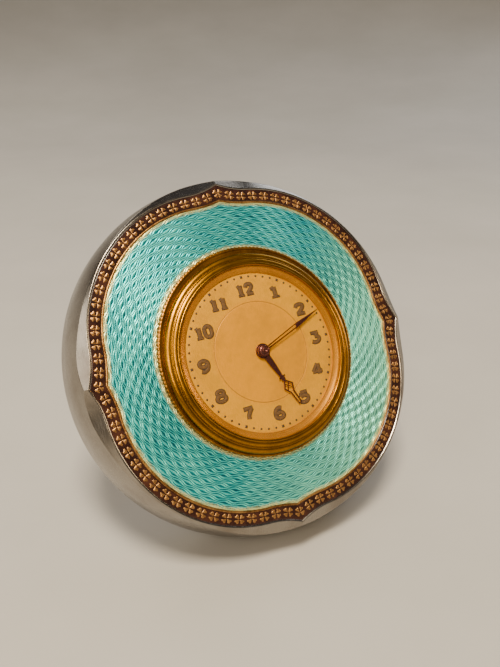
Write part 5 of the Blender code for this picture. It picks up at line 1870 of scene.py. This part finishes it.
@dataclass
class Strut(SubAssembly):
    """Hinge bracket, pin and the leg that leans the clock."""

    open_angle: float = math.radians(45.0)
    from_vertical: float = math.radians(13.5)
    bracket_width: float = 16.0
    bracket_length: float = 5.0
    bracket_thickness: float = 0.8
    bracket_corner: float = 0.9
    knuckle_radius: float = 1.5
    knuckle_lift: float = 1.8
    leg_knuckle_width: float = 6.0
    pin_radius: float = 0.6
    leg_thickness: float = 1.4
    leg_width: float = 10.0
    foot_width: float = 22.0
    foot_length: float = 9.0
    corner_radius: float = 1.1
    gap: float = 0.3

    def build(self) -> None:
        """Build bracket, pin and leg about a point on the hinge's axis in the clock's middle."""
        origin = np.array(joint_named("strut_fold")["pos_m"], float)
        origin[0] = 0.0
        axes = Axes(origin, FACE.right, FACE.up, FACE.out)
        silver = self.finishes.silver
        make_piece("hinge_bracket_knuckled", self.bracket(), axes, silver, "hinge_bracket")
        end = self.bracket_width / 2 + 0.05
        pin = self.add_bar(Shape(), self.pin_radius, -end, end, 0.12)
        make_piece("hinge_pin_turned", pin, axes, self.finishes.steel, "hinge_pin")
        leg_axes = axes.tipped(self.open_angle)
        leg = self.leg(leg_axes)
        make_piece("strut_leg_stamped", leg, leg_axes, silver, "strut_leg", "strut", floor=True)

    def add_bar(
        self, shape: Shape, radius: float, start: float, end: float, soften: float
    ) -> Shape:
        """Add a round bar along x with softened ends.

        Args:
            shape: where it is added.
            radius: its radius.
            start: where it starts.
            end: where it ends.
            soften: width of the bevel at its ends.

        Returns:
            The shape.
        """
        profile = ((radius * 0.3, start), (radius - soften, start), (radius, start + soften))
        profile += ((radius, end - soften), (radius - soften, end), (radius * 0.3, end))
        return shape.add(lathe(np.array(profile), 48)[..., [2, 0, 1]], Cap.POLE, Cap.POLE)

    def bracket(self) -> Shape:
        """Flat plate with rounded corners, and two knuckles on their webs.

        Returns:
            Its shape.
        """
        x, y = self.bracket_width / 2, self.bracket_length / 2
        r, level = self.knuckle_radius, self.knuckle_lift
        outline = rounded(((-x, -y), (x, -y), (x, y), (-x, y)), self.bracket_corner, 6)
        shape = capped(plate(outline, level, level + self.bracket_thickness, 0.15))
        inner = self.leg_knuckle_width / 2 + self.gap
        for start, end in ((-x, -inner), (inner, x)):
            self.add_bar(shape, r, start, end, 0.15)
            web = np.array(((start + 0.1, -r), (end - 0.1, -r), (end - 0.1, r), (start + 0.1, r)))
            shape.add(plate(web, 0.0, level + 0.3, 0.05), Cap.FLAT, Cap.FLAT)
        return shape

    def leg(self, axes: Axes) -> Shape:
        """Leg: a flat plate with a stamped groove inside its edge, a flared foot and a knuckle.

        Args:
            axes: frame of the leg.

        Returns:
            Its shape.
        """
        length = axes.origin[2] / MM / math.cos(self.from_vertical) + self.leg_thickness
        half, foot, knuckle = self.leg_width / 2, self.foot_width / 2, self.leg_knuckle_width / 2
        neck, r = knuckle - self.gap, self.knuckle_radius
        side = [(neck, -r * 0.7), (neck, -2 * r), (half, -4 * r)]
        side += [(half, -length + 2 * self.foot_length), (foot, -length + self.foot_length)]
        side += [(foot, -length)]
        corners = side + [(-x, y) for x, y in reversed(side)]
        t = self.leg_thickness / 2
        edge = ((t, 0.18), (t - 0.18, 0.0), (0.18 - t, 0.0), (-t, 0.18))
        groove = ((-t, 1.3), (0.16 - t, 1.55), (0.16 - t, 1.85), (-t, 2.1))
        rings = [(offset_corners(corners, step), z) for z, step in edge + groove]
        grid = layers((rounded(ring, self.corner_radius, 5), z) for ring, z in rings)
        return self.add_bar(capped(grid), r, -knuckle, knuckle, 0.12)


@dataclass
class Works(SubAssembly):
    """CAD nodes inside the case, which keep their shape and get a worked finish."""

    steel_nodes: tuple[str, ...] = (
        "cannon_pinion", "setting_arbor", "winding_arbor", "ratchet_wheel", "escape_wheel",
        "pallet_fork", "hairspring", "mainspring", "regulator_lever", "click", "click_spring",
        "plate_screw_1", "plate_screw_2", "plate_screw_3", "plate_screw_4",
    )
    silver_nodes: tuple[str, ...] = ("face_plate",)

    def build(self) -> None:
        """Give every CAD node its finish: silver, steel, or else brass."""
        finishes = {name: self.finishes.steel for name in self.steel_nodes}
        finishes.update({name: self.finishes.silver for name in self.silver_nodes})
        for name, node in frame["nodes"].items():
            for slot in node.material_slots:
                slot.material = finishes.get(name, self.finishes.brass).material
        LOG.info("dressed %d CAD nodes", len(frame["nodes"]))


@dataclass(frozen=True)
class Lamp:
    """A square softbox that looks at the clock; its place and side are metres."""

    name: str
    place: Triple
    side: float
    watts: float
    colour: Triple
    spread: float = 180.0

    def hang(self) -> None:
        """Add the light; its spread is the angle in degrees of the cone that it fills."""
        data = bpy.data.lights.new(self.name, "AREA")
        data.shape = "SQUARE"
        data.size = self.side
        data.energy = self.watts
        data.color = self.colour
        data.spread = math.radians(self.spread)
        lamp = add_object(self.name, data)
        lamp.location = self.place
        aim = Vector(FACE.origin) - Vector(self.place)
        lamp.rotation_euler = aim.to_track_quat("-Z", "Y").to_euler()


@dataclass
class Studio:
    """Pale table, soft lights and the photograph's camera; the table's sizes are metres."""

    camera_turn: Triple = (-0.127, 0.4413, 0.2324)
    camera_shift: Triple = (0.0464, -0.0953, -4.2737)
    lens: float = 39.94
    sensor: float = 36.0
    table_radius: float = 0.55
    bend: float = 1.3
    wall_height: float = 1.6
    surround: tuple[float, ...] = (0.86, 0.90, 1.0, 1.0)
    surround_strength: float = 0.12
    lamps: tuple[Lamp, ...] = (
        Lamp("key", (-0.20, -0.33, 0.89), 0.22, 15.5, (1.0, 0.85, 0.64)),
        Lamp("front", (-0.52, -0.66, 0.60), 0.32, 4.8, (1.0, 0.82, 0.58)),
        Lamp("low", (1.15, -0.27, 0.36), 0.34, 0.64, (1.0, 0.78, 0.50), 80.0),
        Lamp("left", (-0.75, -0.15, 0.50), 0.40, 1.6, (1.0, 0.90, 0.76)),
        Lamp("right", (0.75, 0.35, 0.60), 0.45, 2.6, (0.86, 0.92, 1.0)),
        Lamp("rear", (-0.15, 0.75, 0.55), 0.40, 2.0, (1.0, 0.93, 0.82)),
    )

    def build(self) -> None:
        """Build table, surround, lights and camera."""
        self.build_table()
        self.build_surround()
        for lamp in self.lamps:
            lamp.hang()
        self.build_camera()

    def build_table(self) -> None:
        """Flat table that turns up all round into a pale wall: a quarter circle, then upright."""
        s = np.linspace(0.0, QUARTER, 24)
        radius, bend = self.table_radius, self.bend
        curve = np.column_stack((radius + bend * np.sin(s), bend * (1.0 - np.cos(s))))
        wall = (radius + bend, self.wall_height)
        profile = np.vstack(((0.05, 0.0), (0.3, 0.0), curve, wall))
        shape = Shape().add(lathe(profile / MM, 96), Cap.POLE)
        table = add_object("table", shape.mesh("table", Axes(np.zeros(3), *np.eye(3))))
        table.data.materials.append(TableTop().dress())

    def build_surround(self) -> None:
        """Even pale light from all round."""
        world = bpy.data.worlds.new("surround")
        bpy.context.scene.world = world
        world.use_nodes = True
        background = world.node_tree.nodes["Background"]
        background.inputs["Color"].default_value = self.surround
        background.inputs["Strength"].default_value = self.surround_strength

    def build_camera(self) -> None:
        """Camera of the photograph.

        A point of the face, in face radii, turns by the rotation vector and moves by the shift to
        camera coordinates; the camera's own place is the inverse of that.
        """
        turn = Vector(self.camera_turn)
        back = np.array(Matrix.Rotation(turn.length, 3, turn.normalized()).transposed())
        place = -back @ np.array(self.camera_shift) * OUTLINE.radius
        data = bpy.data.cameras.new("camera")
        data.lens = self.lens
        data.sensor_width = self.sensor
        camera = add_object("camera", data)
        matrix = Matrix((FACE.turn @ back).tolist()).to_4x4()
        matrix.translation = Vector(FACE.place(place))
        camera.matrix_world = matrix
        bpy.context.scene.camera = camera


def main() -> None:
    """Build the clock's looks in order."""
    logging.basicConfig(level=logging.INFO, format="%(message)s")
    finishes = Finishes()
    assemblies = (Works, DrumCase, EnamelledFace, Bezel, Dial, Hands, CaseBack, KeyAndKnob, Strut)
    for assembly in assemblies:
        LOG.info("building %s", assembly.__name__)
        assembly(finishes).build()
    Studio().build()


if __name__ == "__main__":
    main()
